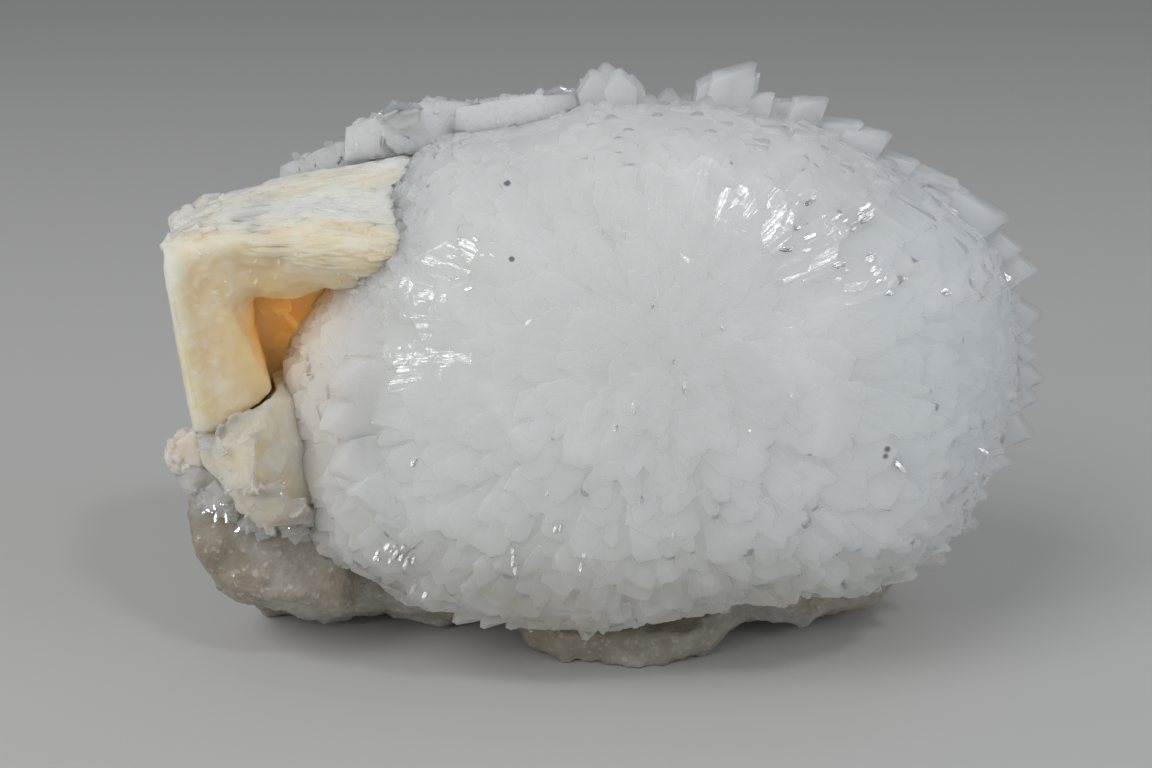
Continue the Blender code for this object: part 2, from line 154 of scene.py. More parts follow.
# %% Floor, sky and lamps
def add_floor():
    bpy.ops.object.select_all(action="DESELECT")
    bpy.ops.mesh.primitive_plane_add(size=6)
    floor = bpy.context.object
    floor.name = "floor"
    paint = bpy.data.materials.new("pale_floor")
    paint.use_nodes = True
    paint.node_tree.nodes["Principled BSDF"].inputs["Base Color"].default_value = (0.66, 0.66, 0.65, 1)
    paint.node_tree.nodes["Principled BSDF"].inputs["Roughness"].default_value = 0.7
    floor.data.materials.append(paint)


def add_lamp(name, place, size, power, colour=(1, 1, 1)):
    """A square soft light that faces the specimen."""
    lamp = bpy.data.objects.new(name, bpy.data.lights.new(name, "AREA"))
    lamp.data.size = size
    lamp.data.energy = power
    lamp.data.color = colour
    lamp.location = place
    lamp.rotation_euler = (Vector((0, 0, 0.024)) - lamp.location).to_track_quat("-Z", "Y").to_euler()
    bpy.context.scene.collection.objects.link(lamp)
    return lamp


add_floor()
soft_lamps = [
    add_lamp("key", Vector((-0.30, -0.38, 0.46)), 0.30, 1.42),
    add_lamp("right_fill", Vector((0.50, -0.30, 0.30)), 0.30, 0.55, (0.88, 0.94, 1.0)),
]
for lamp in soft_lamps:
    lamp.visible_glossy = False
sparkles = [
    add_lamp("sparkle_high", Vector((0.16, -0.30, 0.40)), 0.04, 0.24),
    add_lamp("sparkle_low", Vector((-0.34, -0.30, 0.16)), 0.035, 0.16),
]
world = bpy.data.worlds.new("studio")
bpy.context.scene.world = world
world.use_nodes = True
world.node_tree.nodes["Background"].inputs["Color"].default_value = (0.88, 0.89, 0.90, 1)
world.node_tree.nodes["Background"].inputs["Strength"].default_value = 0.27
bpy.context.scene.view_settings.view_transform = "Standard"

# %% [markdown]
# ## Blade shapes
#
# Goosecreekite grows as flat blades. In the dome only their ends show: chisel-shaped scales that
# lie over each other, and sharp skewed teeth round the rim. Each shape is modelled once, with its
# tip at the origin, its length down -Y, its width along X and its flat front face up +Z. All sizes
# are 1, so a copy gets its real size when it is planted. The front face is a little smaller than
# the back, because a thin sloping edge is what catches the light on the real crystals.

# %% One blade, in several skews
def blade(name, lean, end, shoulder, front=0.86, edge=0.5):
    """A flat blade: its tip is moved aside by lean, end wide and edge thick."""
    bpy.ops.object.select_all(action="DESELECT")
    bpy.ops.mesh.primitive_cube_add(size=1, location=(0, -0.5, -0.5))
    piece = bpy.context.object
    piece.name = name
    bpy.ops.object.transform_apply(location=True, rotation=True, scale=True)
    edit_where(piece, lambda co: co.y > -0.1)
    bpy.ops.transform.translate(value=(0, -shoulder, 0))
    bpy.ops.mesh.extrude_region_move(TRANSFORM_OT_translate={"value": (lean, shoulder, 0)})
    bpy.ops.transform.resize(value=(end, 1, edge), center_override=(lean, 0, 0))
    leave_edit()
    edit_where(piece, lambda co: co.y < -0.9)
    bpy.ops.transform.resize(value=(0.7, 1, 1), center_override=(0, -1, 0))
    leave_edit()
    edit_where(piece, lambda co: co.z > -0.1)
    bpy.ops.transform.resize(value=(front, 0.93, 1), center_override=(lean * 0.5, -1, 0))
    leave_edit()
    return piece


SCALES = [
    blade("scale_left", -0.16, 0.34, 0.26),
    blade("scale_right", 0.18, 0.30, 0.30),
    blade("scale_blunt", 0.05, 0.62, 0.16),
    blade("scale_skewed", -0.26, 0.18, 0.36),
]
TEETH = {side: blade(f"tooth_{side}", side * 0.3, 0.14, 0.2, 0.94, 0.15) for side in (-1, 0, 1)}
for shape in SCALES + list(TEETH.values()):
    print(shape.name, len(shape.data.polygons), "faces")

# %% [markdown]
# ## Planting and fusing
#
# A crystal is planted by turning and stretching a copy of a shape so that its tip, its length and
# its flat face lie as wanted. Crystals that overlap are fused with a Boolean, so that light which
# enters the stone meets no walls inside it. A remesh then rounds the fresh edges a little, as water
# and wear do, and gives the even grid of points that soft shading needs.

# %% Plant, fuse and soften
AHEAD = Vector((0, -1, 0))


def plant(shape, tip, axis, width, length, thickness, roll=0.0, facing=AHEAD):
    """A copy of a shape with its tip at a place and its flat face as nearly as it can be facing."""
    wide = Matrix.Rotation(roll, 3, axis) @ axis.cross(facing).normalized()
    front = wide.cross(axis)
    turn = Matrix((wide * width, axis * length, front * thickness)).transposed().to_4x4()
    mesh = shape.data.copy()
    mesh.transform(TO_FRAME @ Matrix.Translation(tip) @ turn)
    crystal = bpy.data.objects.new("crystal", mesh)
    bpy.context.scene.collection.objects.link(crystal)
    return crystal


def combine(body, others, operation):
    """Fuses other objects with a body, or cuts them from it, and removes them."""
    group = bpy.data.collections.new("others")
    for other in others:
        group.objects.link(other)
    apply_modifier(
        body, "BOOLEAN", operation=operation, operand_type="COLLECTION", collection=group, solver="MANIFOLD"
    )
    bpy.data.batch_remove(others)
    bpy.data.collections.remove(group)


def soften(piece, grid, rounds, most):
    """Remeshes a piece on a fine grid, rounds its edges and keeps its faces under a number."""
    apply_modifier(piece, "REMESH", mode="VOXEL", voxel_size=grid * MM)
    apply_modifier(piece, "SMOOTH", factor=0.5, iterations=rounds)
    faces = sum(len(face.vertices) - 2 for face in piece.data.polygons)
    if faces > most:
        apply_modifier(piece, "DECIMATE", ratio=most / faces)
    only(piece)
    bpy.ops.object.shade_smooth()
    left = sum(len(face.vertices) - 2 for face in piece.data.polygons)
    print(piece.name, "triangles:", faces, "kept:", left)


def copy_of_node(node, name):
    """A closed copy of a solid: its loose triangles are merged into one skin first."""
    piece = bpy.data.objects.new(name, frame["nodes"][node].data.copy())
    piece.data.materials.clear()
    bpy.context.scene.collection.objects.link(piece)
    edit_where(piece, lambda co: True)
    bpy.ops.mesh.remove_doubles(threshold=1e-6)
    leave_edit()
    return piece


# %% [markdown]
# Where many crystals overlap, they can close in little bubbles between them. Light that scatters
# inside the stone would stop at their walls and show them as dark spots, so whatever is not joined
# to the outer skin is deleted.

# %% Delete closed-in bubbles
def drop_bubbles(piece):
    """Keeps only the skin that the topmost point belongs to."""
    before = len(piece.data.polygons)
    top = max((vertex.co for vertex in piece.data.vertices), key=lambda co: co.z).copy()
    edit_where(piece, lambda co: (co - top).length < 1e-8)
    bpy.ops.mesh.select_linked()
    bpy.ops.mesh.select_all(action="INVERT")
    bpy.ops.mesh.delete(type="VERT")
    leave_edit()
    print(piece.name, "faces of bubbles deleted:", before - len(piece.data.polygons))


# %% [markdown]
# ## The outline of the dome
#
# The dome is an egg-shaped fan that grew from one point. From the front its outline bulges to the
# lower right, and it is pushed flat where it met its neighbours. A short list of angles and
# distances holds that outline, and a curve between an ellipse and a box carries it to the front.

# %% Rim and reach
NUCLEUS = Vector((3.0, 2.0, 24.0))
DOME_FRONT = 15.5
DOME_BACK = 7.0
BULGE = 2.3
RIM = [
    (0, 28.8),
    (18, 28.4),
    (30, 26.4),
    (40, 24.2),
    (55, 22.9),
    (68, 21.5),
    (90, 20.8),
    (112, 20.2),
    (135, 23.2),
    (160, 24.0),
    (180, 27.0),
    (207, 28.6),
    (220, 26.2),
    (240, 22.2),
    (258, 20.8),
    (275, 19.4),
    (292, 19.4),
    (306, 21.6),
    (320, 25.6),
    (333, 28.2),
    (346, 28.4),
]


def rim_reach(angle):
    """The rim's distance from the nucleus, eased between the listed angles."""
    angle %= 360
    after = next((i for i, (at, _) in enumerate(RIM) if at > angle), 0)
    (a, near), (b, far) = RIM[after - 1], RIM[after]
    share = ((angle - a) % 360) / ((b - a) % 360)
    return near + (far - near) * share * share * (3 - 2 * share)


def dome_reach(direction):
    """How far the dome reaches from its nucleus in a direction."""
    across = math.hypot(direction.x, direction.z)
    rim = rim_reach(math.degrees(math.atan2(direction.z, direction.x)))
    depth = DOME_FRONT if direction.y < 0 else DOME_BACK
    return ((across / rim) ** BULGE + (abs(direction.y) / depth) ** BULGE) ** (-1 / BULGE)


print("the rim reaches", min(r for _, r in RIM), "to", max(r for _, r in RIM), "mm")

# %% [markdown]
# ## The blades of the dome
#
# Seen from the front the blades open like an artichoke round a point a little above the middle.
# The golden angle spreads any number of them evenly round that axis. Large blades make the broad
# steps, and smaller ones over them make the fine scales, so the dome is planted in layers. The
# crystals that break the outline are listed one by one, because that is where the eye compares.

# %% Spread the blades
AXIS_TILT = math.radians(22)
POLE = Vector((0, -math.cos(AXIS_TILT), math.sin(AXIS_TILT)))
UPWARD = Vector((0, math.sin(AXIS_TILT), math.cos(AXIS_TILT)))
GOLDEN_ANGLE = math.pi * (3 - math.sqrt(5))
HALF_WIDTH = 28
HALF_HEIGHT = 21


def spot_on_dome(share, turn, behind):
    """A direction from the nucleus: share 0 is the middle of the front, 1 is behind the rim."""
    forward = 1 - (1 + behind) * share
    outward = Vector((math.cos(turn), 0, 0)) + UPWARD * math.sin(turn)
    spot = POLE * forward + outward * math.sqrt(1 - forward * forward)
    stretched = Vector((spot.x * HALF_WIDTH, spot.y * DOME_FRONT, spot.z * HALF_HEIGHT))
    return stretched.normalized(), forward


def dome_normal(direction):
    """The way out of the dome where a ray from the nucleus leaves it."""
    side = direction.orthogonal().normalized() * 0.05
    other = direction.cross(side).normalized() * 0.05
    rays = [(direction + step).normalized() for step in (Vector(), side, other)]
    here, right, up = [ray * dome_reach(ray) for ray in rays]
    return (right - here).cross(up - here).normalized()


def ease(value, low, high):
    """Rises smoothly from 0 at low to 1 at high."""
    share = min(max((value - low) / (high - low), 0), 1)
    return share * share * (3 - 2 * share)


def scale_on_dome(draw, direction, width, length, thickness, lift, sunk):
    """A blade that comes up out of the dome: its root lies nearer the dome's axis, sunk below."""
    up_slope = (POLE - direction * direction.dot(POLE)).normalized()
    if direction.dot(POLE) > 0.985:
        up_slope = Matrix.Rotation(draw.uniform(0, 6.3), 3, direction) @ up_slope
    if direction.y > 0.05:
        up_slope = -up_slope
    sideways = direction.cross(up_slope) * draw.uniform(-0.22, 0.22)
    reach = dome_reach(direction)
    back = (direction + (up_slope + sideways) * (length / reach)).normalized()
    tip = NUCLEUS + direction * (reach + lift)
    root = NUCLEUS + back * (dome_reach(back) - sunk)
    roll = math.radians(draw.uniform(-6, 6))
    axis = (tip - root).normalized()
    return plant(draw.choice(SCALES), tip, axis, width, (tip - root).length, thickness, roll, dome_normal(direction))


def near_listed_rim(direction):
    """1 at the part of the rim whose teeth are listed one by one, and 0 away from it."""
    beside = ease(0.5 - abs(direction.y), 0.0, 0.25)
    return beside * ease(direction.x, -0.3, 0.0) * ease(direction.z, -0.75, -0.5)


def layer(draw, count, widths, thickness, swing, sunk, at_rim, behind=0.5):
    """One layer of blades, spread evenly from the middle of the dome to just behind its rim."""
    blades = []
    for i in range(count):
        turn = i * GOLDEN_ANGLE + draw.uniform(-0.15, 0.15)
        direction, forward = spot_on_dome((i + 0.5) / count, turn, behind)
        relief = 0.36 + 0.74 * ease(-direction.z, -0.3, 0.4)
        lift = draw.uniform(*swing) * relief + at_rim * near_listed_rim(direction)
        width = draw.uniform(*widths)
        depth = sunk * relief + 2.2 * ease(direction.y, -0.55, 0.0)
        blades.append(scale_on_dome(draw, direction, width, width * 1.2 + 1, thickness, lift, depth))
    return blades


# %% [markdown]
# The crystals of the rim: the angle, how far the tip reaches and the width of the blade. The right
# side is a row of saw teeth, whose long edges face up at the top and down at the bottom. Under the
# dome the blades hang forward over the rock.

# %% Crystals along the rim
RIM_TEETH = [
    (102.0, 21.4, 2.0),
    (99.8, 22.0, 2.6),
    (97.2, 22.3, 2.8),
    (94.8, 21.9, 2.4),
    (92.6, 21.3, 2.0),
    (76.4, 22.2, 2.6),
    (73.8, 23.5, 3.2),
    (71.2, 22.8, 1.8),
    (68.0, 22.0, 2.2),
    (65.6, 21.7, 1.8),
    (62.4, 22.4, 1.8),
    (58.8, 23.5, 2.4),
    (52.5, 23.6, 3.4),
    (47.5, 24.4, 3.2),
    (40.0, 24.7, 2.6),
    (35.0, 25.9, 3.4),
    (31.0, 26.6, 2.2),
    (26.6, 28.4, 4.4),
    (19.8, 28.8, 2.4),
    (16.2, 29.7, 3.2),
    (8.0, 29.5, 4.2),
    (4.6, 29.0, 1.8),
    (2.0, 29.0, 2.4),
    (358.6, 29.6, 3.4),
    (354.8, 29.8, 3.2),
    (349.6, 30.0, 3.4),
    (343.6, 28.7, 3.2),
    (337.5, 27.8, 3.0),
    (331.0, 28.9, 4.6),
    (324.6, 27.8, 3.8),
]
LOWER_TEETH = [
    (204.0, 26.6, 4.6),
    (209.5, 27.2, 4.0),
    (214.5, 25.6, 3.6),
    (220.5, 25.0, 3.4),
    (225.5, 24.6, 4.2),
    (235.0, 23.4, 3.2),
    (239.5, 22.6, 2.6),
    (245.0, 21.8, 3.4),
    (258.0, 20.7, 2.6),
    (268.0, 19.4, 4.0),
    (286.0, 19.5, 4.2),
    (308.0, 21.9, 4.4),
    (322.0, 25.2, 4.0),
]
LOBES = [
    (204.0, 23.4, 3.4),
    (211.0, 22.6, 4.4),
    (219.0, 21.6, 3.6),
    (196.0, 24.6, 3.0),
    (188.0, 25.4, 3.2),
    (180.0, 25.6, 3.0),
    (172.0, 25.0, 3.2),
]
LOWER_FORWARD = 0.24
TOOTH_LENGTH = 2.5  # in widths
TOOTH_OVER = 0.45  # the thin tip stands out this far beyond the listed reach


def rim_crystals(draw, listed, forward):
    blades = []
    for angle, reach, width in listed:
        turn = math.radians(angle)
        ahead = forward + draw.uniform(0, 0.07)
        direction = Vector((math.cos(turn), -ahead, math.sin(turn))).normalized()
        side = round(math.sin(turn * 2))
        blades.append(
            plant(
                TEETH[side],
                NUCLEUS + direction * (reach + TOOTH_OVER),
                direction,
                width,
                width * TOOTH_LENGTH,
                draw.uniform(1.2, 1.8),
                math.radians(draw.uniform(-12, 12)),
            )
        )
    return blades


def fill_teeth(draw, count, low, high):
    """Lesser teeth that stand between and behind the listed ones, from one angle to another."""
    blades = []
    for i in range(count):
        angle = low + (high - low) * (i + draw.random()) / count
        turn = math.radians(angle)
        direction = Vector((math.cos(turn), -draw.uniform(-0.05, 0.4), math.sin(turn))).normalized()
        width = draw.uniform(1.4, 3.4)
        side = round(math.sin(turn * 2))
        tip = NUCLEUS + direction * (dome_reach(direction) - draw.uniform(0.0, 0.8))
        roll = math.radians(draw.uniform(-10, 10))
        blades.append(plant(TEETH[side], tip, direction, width, width * TOOTH_LENGTH, 0.9, roll))
    return blades


# %% [markdown]
# ## Glints
#
# Here and there a cleavage face mirrors a lamp straight into the eye. Such faces are small flakes
# that are turned halfway between the way to the eye and the way to the lamp. Each group has its
# place across and up, how many flakes it has and how far they are spread.

# %% A flake, and the flakes that glint
def flake():
    """A flat six-cornered flake whose face is up, for cleavage steps and small broken crystals."""
    bpy.ops.object.select_all(action="DESELECT")
    bpy.ops.mesh.primitive_cylinder_add(vertices=6, radius=0.5, depth=1)
    piece = bpy.context.object
    piece.name = "flake"
    edit_where(piece, lambda co: co.z > 0)
    bpy.ops.transform.resize(value=(0.8, 0.84, 1), center_override=(0.1, 0, 0.5))
    leave_edit()
    edit_where(piece, lambda co: co.x > 0.3)
    bpy.ops.transform.translate(value=(0.12, 0.1, 0))
    leave_edit()
    return piece


def on_skin(piece, point):
    """The spot of a piece's skin that is nearest to a point, and the way out there."""
    found, spot, out, _ = piece.closest_point_on_mesh(TO_FRAME @ Vector(point))
    return TO_FRAME.inverted() @ spot, out


def lay_flakes(draw, skin, count, low, high, size, thick, tilt):
    """Flakes at random places of a box, moved to the skin and tilted a little from it."""
    pieces = []
    for _ in range(count):
        place = [draw.uniform(low[i], high[i]) for i in range(3)]
        spot, out = on_skin(skin, place)
        lean = Vector([draw.uniform(-tilt, tilt) for _ in range(3)])
        facing = (out + lean).normalized()
        turn = facing.orthogonal().normalized()
        axis = Matrix.Rotation(draw.uniform(0, 6.3), 3, facing) @ turn
        wide = draw.uniform(*size)
        pieces.append(plant(FLAKE, spot, axis, wide, wide * draw.uniform(0.7, 1.4), thick, facing=facing))
    return pieces


FLAKE = flake()
GLINTS = [
    (16.9, 37.3, 30, 1.2),
    (13.6, 38.0, 6, 1.4),
    (15.2, 34.2, 4, 0.7),
    (12.8, 36.7, 4, 1.2),
    (17.8, 35.0, 5, 0.9),
    (22.5, 32.5, 4, 0.6),
    (19.0, 33.3, 4, 1.6),
    (-14.4, 13.4, 26, 1.3),
    (-13.1, 10.4, 5, 0.6),
    (-3.0, 17.0, 3, 0.4),
    (-6.4, 14.3, 4, 0.6),
    (22.3, 12.2, 3, 0.6),
    (20.1, 20.9, 2, 0.3),
    (24.3, 20.7, 2, 0.4),
    (26.6, 19.8, 3, 0.8),
    (-12.8, 21.1, 2, 0.4),
    (-9.4, 35.0, 6, 2.4),
    (-11.0, 33.6, 6, 2.2),
    (4.0, 30.0, 10, 9.0),
    (0.0, 18.0, 8, 9.0),
]


def dome_front(across, up):
    """The point of the dome's front at a place across and up."""
    arm = Vector((across - NUCLEUS.x, 0, up - NUCLEUS.z))
    share = (arm.length / rim_reach(math.degrees(math.atan2(arm.z, arm.x)))) ** BULGE
    return Vector((across, NUCLEUS.y - DOME_FRONT * max(0.0, 1 - share) ** (1 / BULGE), up))


def glint(draw, spot, out, widths):
    """A tiny flake that mirrors whichever small lamp suits the slope it lies on."""
    lamps = [TO_FRAME.inverted() @ lamp.location for lamp in sparkles]
    halfway = [((EYE - spot).normalized() + (lamp - spot).normalized()).normalized() for lamp in lamps]
    facing = max(halfway, key=out.dot)
    facing = (facing + Vector([draw.gauss(0, 0.012) for _ in range(3)])).normalized()
    wide = draw.uniform(*widths)
    axis = facing.cross(out.cross(POLE)).normalized()
    return plant(FLAKE, spot - out * 0.04, axis, wide, wide * draw.uniform(1.4, 4.5), 0.26, facing=facing)


def dome_glints(draw):
    flakes = []
    for across, up, count, spread in GLINTS:
        for _ in range(count):
            spot = dome_front(across + draw.gauss(0, spread * 0.5), up + draw.gauss(0, spread * 0.5))
            flakes.append(glint(draw, spot, dome_normal((spot - NUCLEUS).normalized()), (0.12, 0.34)))
    return flakes


# %% [markdown]
# ## The dome itself
#
# An icosphere is stretched to the dome's outline, a little smaller, and all the layers are fused
# with it. Where a neighbour grew against the dome, a copy of that neighbour is cut out, so the
# pieces meet without running through each other.

# %% Build the dome
def dome_core(depth, at_rim):
    bpy.ops.object.select_all(action="DESELECT")
    bpy.ops.mesh.primitive_ico_sphere_add(subdivisions=4, radius=1)
    core = bpy.context.object
    core.name = "spray"
    for vertex in core.data.vertices:
        direction = vertex.co.normalized()
        sunk = depth * (1 + 0.8 * ease(-direction.z, -0.2, 0.4)) + at_rim * near_listed_rim(direction)
        vertex.co = TO_FRAME @ (NUCLEUS + direction * (dome_reach(direction) - sunk))
    return core


def make_spray():
    draw = random.Random(7)
    spray = dome_core(0.3, 0.66)
    blades = layer(draw, 300, (3.2, 5.4), 1.3, (-0.12, 0.12), 0.6, -0.96)
    blades += layer(draw, 780, (1.6, 3.2), 0.9, (-0.12, 0.08), 0.48, -0.82)
    blades += layer(draw, 1400, (0.8, 1.8), 0.6, (-0.10, 0.06), 0.36, -0.78)
    blades += rim_crystals(draw, LOBES, 0.6)
    blades += rim_crystals(draw, RIM_TEETH, 0.0)
    blades += rim_crystals(draw, LOWER_TEETH, LOWER_FORWARD)
    blades += fill_teeth(draw, 130, -40, 105)
    blades += dome_glints(draw)
    blades += lay_flakes(draw, spray, 70, (-16.0, -9.5, 31.0), (-12.5, -2.0, 39.5), (0.5, 1.6), 0.7, 0.5)
    blades += lay_flakes(draw, spray, 260, (-16.0, 5.5, 8.0), (31.0, 12.0, 46.0), (1.0, 3.2), 0.7, 0.25)
    combine(spray, blades, "UNION")
    drop_bubbles(spray)
    only(spray)
    bpy.ops.object.shade_smooth_by_angle(angle=math.radians(16))
    print("spray triangles:", sum(len(face.vertices) - 2 for face in spray.data.polygons))
    return spray


spray = make_spray()

# %% [markdown]
# ## How deep a point lies
#
# Between the blades the stone is painted greyer: painted shade in the hollows between them. A
# number on every point of the mesh, its depth under the dome's outline, lets the material paint
# that shade wherever the dome is seen from.

# %% Depth on the mesh
def store_number(piece, name, measure):
    """Writes one number per point: what measure() gives for its place in millimetres."""
    back = TO_FRAME.inverted()
    values = [measure(back @ vertex.co) for vertex in piece.data.vertices]
    attribute = piece.data.attributes.new(name, "FLOAT", "POINT")
    attribute.data.foreach_set("value", values)
    print(piece.name, name, "from", round(min(values), 2), "to", round(max(values), 2))


def depth_in_dome(point):
    arm = point - NUCLEUS
    return dome_reach(arm.normalized()) - arm.length


store_number(spray, "depth", depth_in_dome)

# %% [markdown]
# ## The cream crystal
#
# This one is a bundle of thread-like crystals that splays to the right and ends ragged, with a
# flat cleavage plate down its left side. Most of it is waxy and smooth, so a copy of the solid is
# remeshed and rounded first. Threads stand out only along its top and at its frayed end. They are
# made from one six-sided needle, and each copy is laid on the nearest spot of the skin.

# %% Threads of the sheaf
def needle():
    """A six-sided thread that is pointed at both ends, with one tip at the origin."""
    bpy.ops.object.select_all(action="DESELECT")
    bpy.ops.mesh.primitive_cylinder_add(vertices=6, radius=0.5, depth=0.6, rotation=(math.radians(-90), 0, 0))
    piece = bpy.context.object
    piece.name = "needle"
    bpy.ops.object.transform_apply(location=True, rotation=True, scale=True)
    for end in (-1, 1):
        edit_where(piece, lambda co, end=end: co.y * end > 0.1)
        bpy.ops.mesh.extrude_region_move(TRANSFORM_OT_translate={"value": (0, end * 0.2, 0)})
        bpy.ops.transform.resize(value=(0.15, 1, 0.15), center_override=(0, 0, 0))
        leave_edit()
    edit_where(piece, lambda co: True)
    bpy.ops.transform.translate(value=(0, -0.5, 0))
    leave_edit()
    return piece


NEEDLE = needle()
SHEAF_LEFT = [(-27.5, 2.2, 36.8), (-27.0, -6.4, 35.4), (-23.4, -4.6, 32.4)]
SHEAF_RIGHT = [(-13.6, 2.2, 39.8), (-11.8, -6.6, 35.6), (-15.6, -5.2, 32.4)]


def along(path, share):
    """The point at a share of the way along a path of evenly spaced corners."""
    spot = min(max(share, 0), 1) * (len(path) - 1)
    start = min(int(spot), len(path) - 2)
    return Vector(path[start]).lerp(Vector(path[start + 1]), spot - start)


# Waxy swellings that join the sheaf to the plate round the pit: centre and half sizes.
SWELLINGS = [
    ((-26.2, -3.0, 32.8), (2.4, 3.2, 2.6)),
    ((-22.6, -2.6, 32.6), (3.4, 2.9, 2.1)),
    ((-18.2, -3.2, 33.2), (3.2, 3.0, 1.8)),
    ((-26.4, -3.0, 29.4), (1.5, 2.8, 3.2)),
    ((-27.4, -5.0, 34.4), (1.8, 2.0, 1.9)),
]


def swelling(centre, size):
    bpy.ops.object.select_all(action="DESELECT")
    bpy.ops.mesh.primitive_ico_sphere_add(subdivisions=3, radius=1)
    piece = bpy.context.object
    stretch = Matrix.Diagonal((*size, 1))
    piece.data.transform(TO_FRAME @ Matrix.Translation(Vector(centre)) @ stretch)
    return piece


def sheaf_threads(draw, skin, count):
    """Threads along the sheaf, most of them near its frayed end and along its top."""
    threads = []
    for i in range(count):
        stop = 1 - draw.random() ** 1.8
        share = 0.03 + draw.random() * (0.36 + 0.50 * stop)
        start = stop - draw.uniform(0.06, 0.3)
        splay = draw.uniform(-0.045, 0.045)
        near = along(SHEAF_LEFT, share).lerp(along(SHEAF_RIGHT, share), start)
        far = along(SHEAF_LEFT, share + splay).lerp(along(SHEAF_RIGHT, share + splay), stop)
        near, _ = on_skin(skin, near)
        far, out = on_skin(skin, far)
        far += (far - near).normalized() * draw.uniform(0.0, 1.1) * ease(stop, 0.8, 1.0)
        width = draw.uniform(0.2, 0.5)
        run = far - near
        if run.length > width * 2:
            far += out * draw.uniform(0.0, 0.08)
            threads.append(plant(NEEDLE, far, run.normalized(), width, run.length, width, facing=out))
    return threads


PLATE_EDGE = [(-32.0, -8.0, 35.0), (-31.1, -9.0, 28.6), (-30.0, -10.0, 21.6)]


def plate_ribs(draw, skin):
    """Long low ribs down the outer edge of the plate."""
    ribs = []
    for _ in range(46):
        start = draw.uniform(0, 0.75)
        inward = Vector((draw.random() ** 2 * 2.2, -1.0, 0))
        top, _ = on_skin(skin, along(PLATE_EDGE, start) + inward)
        foot, out = on_skin(skin, along(PLATE_EDGE, start + draw.uniform(0.15, 0.4)) + inward)
        run = foot - top
        ribs.append(plant(NEEDLE, foot, run.normalized(), draw.uniform(0.2, 0.4), run.length, 0.2, facing=out))
    return ribs


def skin_glints(draw, skin, count, low, high):
    """Glints at random places of a box, moved to the skin."""
    flakes = []
    for _ in range(count):
        spot, out = on_skin(skin, [draw.uniform(low[i], high[i]) for i in range(3)])
        flakes.append(glint(draw, spot, out, (0.1, 0.24)))
    return flakes


def clouds(name, size):
    texture = bpy.data.textures.new(name, "CLOUDS")
    texture.noise_scale = size * MM
    return texture


def roughen(piece, texture, depth, where=""):
    """Pushes the skin in and out by a texture, all over or only in a vertex group."""
    apply_modifier(
        piece,
        "DISPLACE",
        texture=texture,
        strength=depth * MM,
        mid_level=0.5,
        texture_coords="LOCAL",
        vertex_group=where,
    )


def make_cream():
    draw = random.Random(5)
    cream = copy_of_node("cream_crystal", "cream_sheaf")
    combine(cream, [swelling(*place) for place in SWELLINGS], "UNION")
    apply_modifier(cream, "REMESH", mode="VOXEL", voxel_size=0.38 * MM)
    waxy = cream.vertex_groups.new(name="waxy")
    for vertex in cream.data.vertices:
        place = TO_FRAME.inverted() @ vertex.co
        share = ease(place.x, -30.6, -28.0) * ease(place.z, 29.0, 33.0)
        waxy.add([vertex.index], 0.05 + 0.95 * share, "REPLACE")
    apply_modifier(cream, "SMOOTH", factor=1.0, iterations=18, vertex_group="waxy")
    apply_modifier(cream, "SUBSURF", levels=1, render_levels=1)
    roughen(cream, clouds("waxy_lumps", 3.2), 0.8, "waxy")
    roughen(cream, clouds("waxy_grain", 0.7), 0.24)
    pieces = sheaf_threads(draw, cream, 420) + plate_ribs(draw, cream)
    pieces += lay_flakes(draw, cream, 40, (-31.5, -6.5, 35.0), (-27.0, 2.0, 38.5), (0.5, 1.4), 0.4, 0.3)
    pieces += lay_flakes(draw, cream, 12, (-24.5, -1.0, 26.0), (-19.5, 3.5, 30.5), (0.8, 2.4), 0.3, 0.2)
    pieces += lay_flakes(draw, cream, 60, (-31.0, 3.5, 22.0), (-12.0, 8.0, 38.0), (0.8, 3.0), 0.5, 0.12)
    pieces += skin_glints(draw, cream, 40, (-27.0, -9.0, 31.5), (-12.0, -5.0, 37.0))
    pieces += skin_glints(draw, cream, 2, (-23.0, -2.0, 28.4), (-22.6, -1.8, 28.8))
    combine(cream, pieces, "UNION")
    drop_bubbles(cream)
    only(cream)
    bpy.ops.object.shade_smooth_by_angle(angle=math.radians(30))
    print("cream triangles:", sum(len(face.vertices) - 2 for face in cream.data.polygons))
    return cream


cream = make_cream()

# %% [markdown]
# The pit between the sheaf and the plate is tinted honey-orange, the tone of the thick stone there,
# and a weak painted glow makes it shine as if light came through the stone. Its depth is stored on
# the mesh in the same way.

# %% Depth in the pit
PIT = Vector((-22.4, -1.6, 28.0))
PIT_SIZE = Vector((9.0, 9.0, 9.5))


def depth_in_pit(point):
    arm = point - PIT
    away = math.sqrt(sum((arm[i] / PIT_SIZE[i]) ** 2 for i in range(3)))
    return max(0.0, 1.0 - away)


store_number(cream, "pit", depth_in_pit)

# %% [markdown]
# ## The peach crystal, the knob and the clear ledge
#
# These are glassy crystals with flat cleavage faces. Thin six-cornered flakes of the same material
# are laid on copies of their solids, each on the nearest spot of the skin and nearly flat on it,
# and fused with them. They give the small steps that a cleaved crystal shows.

# %% Cleavage flakes
def finish_crystal(piece, flakes, angle):
    combine(piece, flakes, "UNION")
    only(piece)
    bpy.ops.object.shade_smooth_by_angle(angle=math.radians(angle))
    print(piece.name, "triangles:", sum(len(face.vertices) - 2 for face in piece.data.polygons))
    return piece


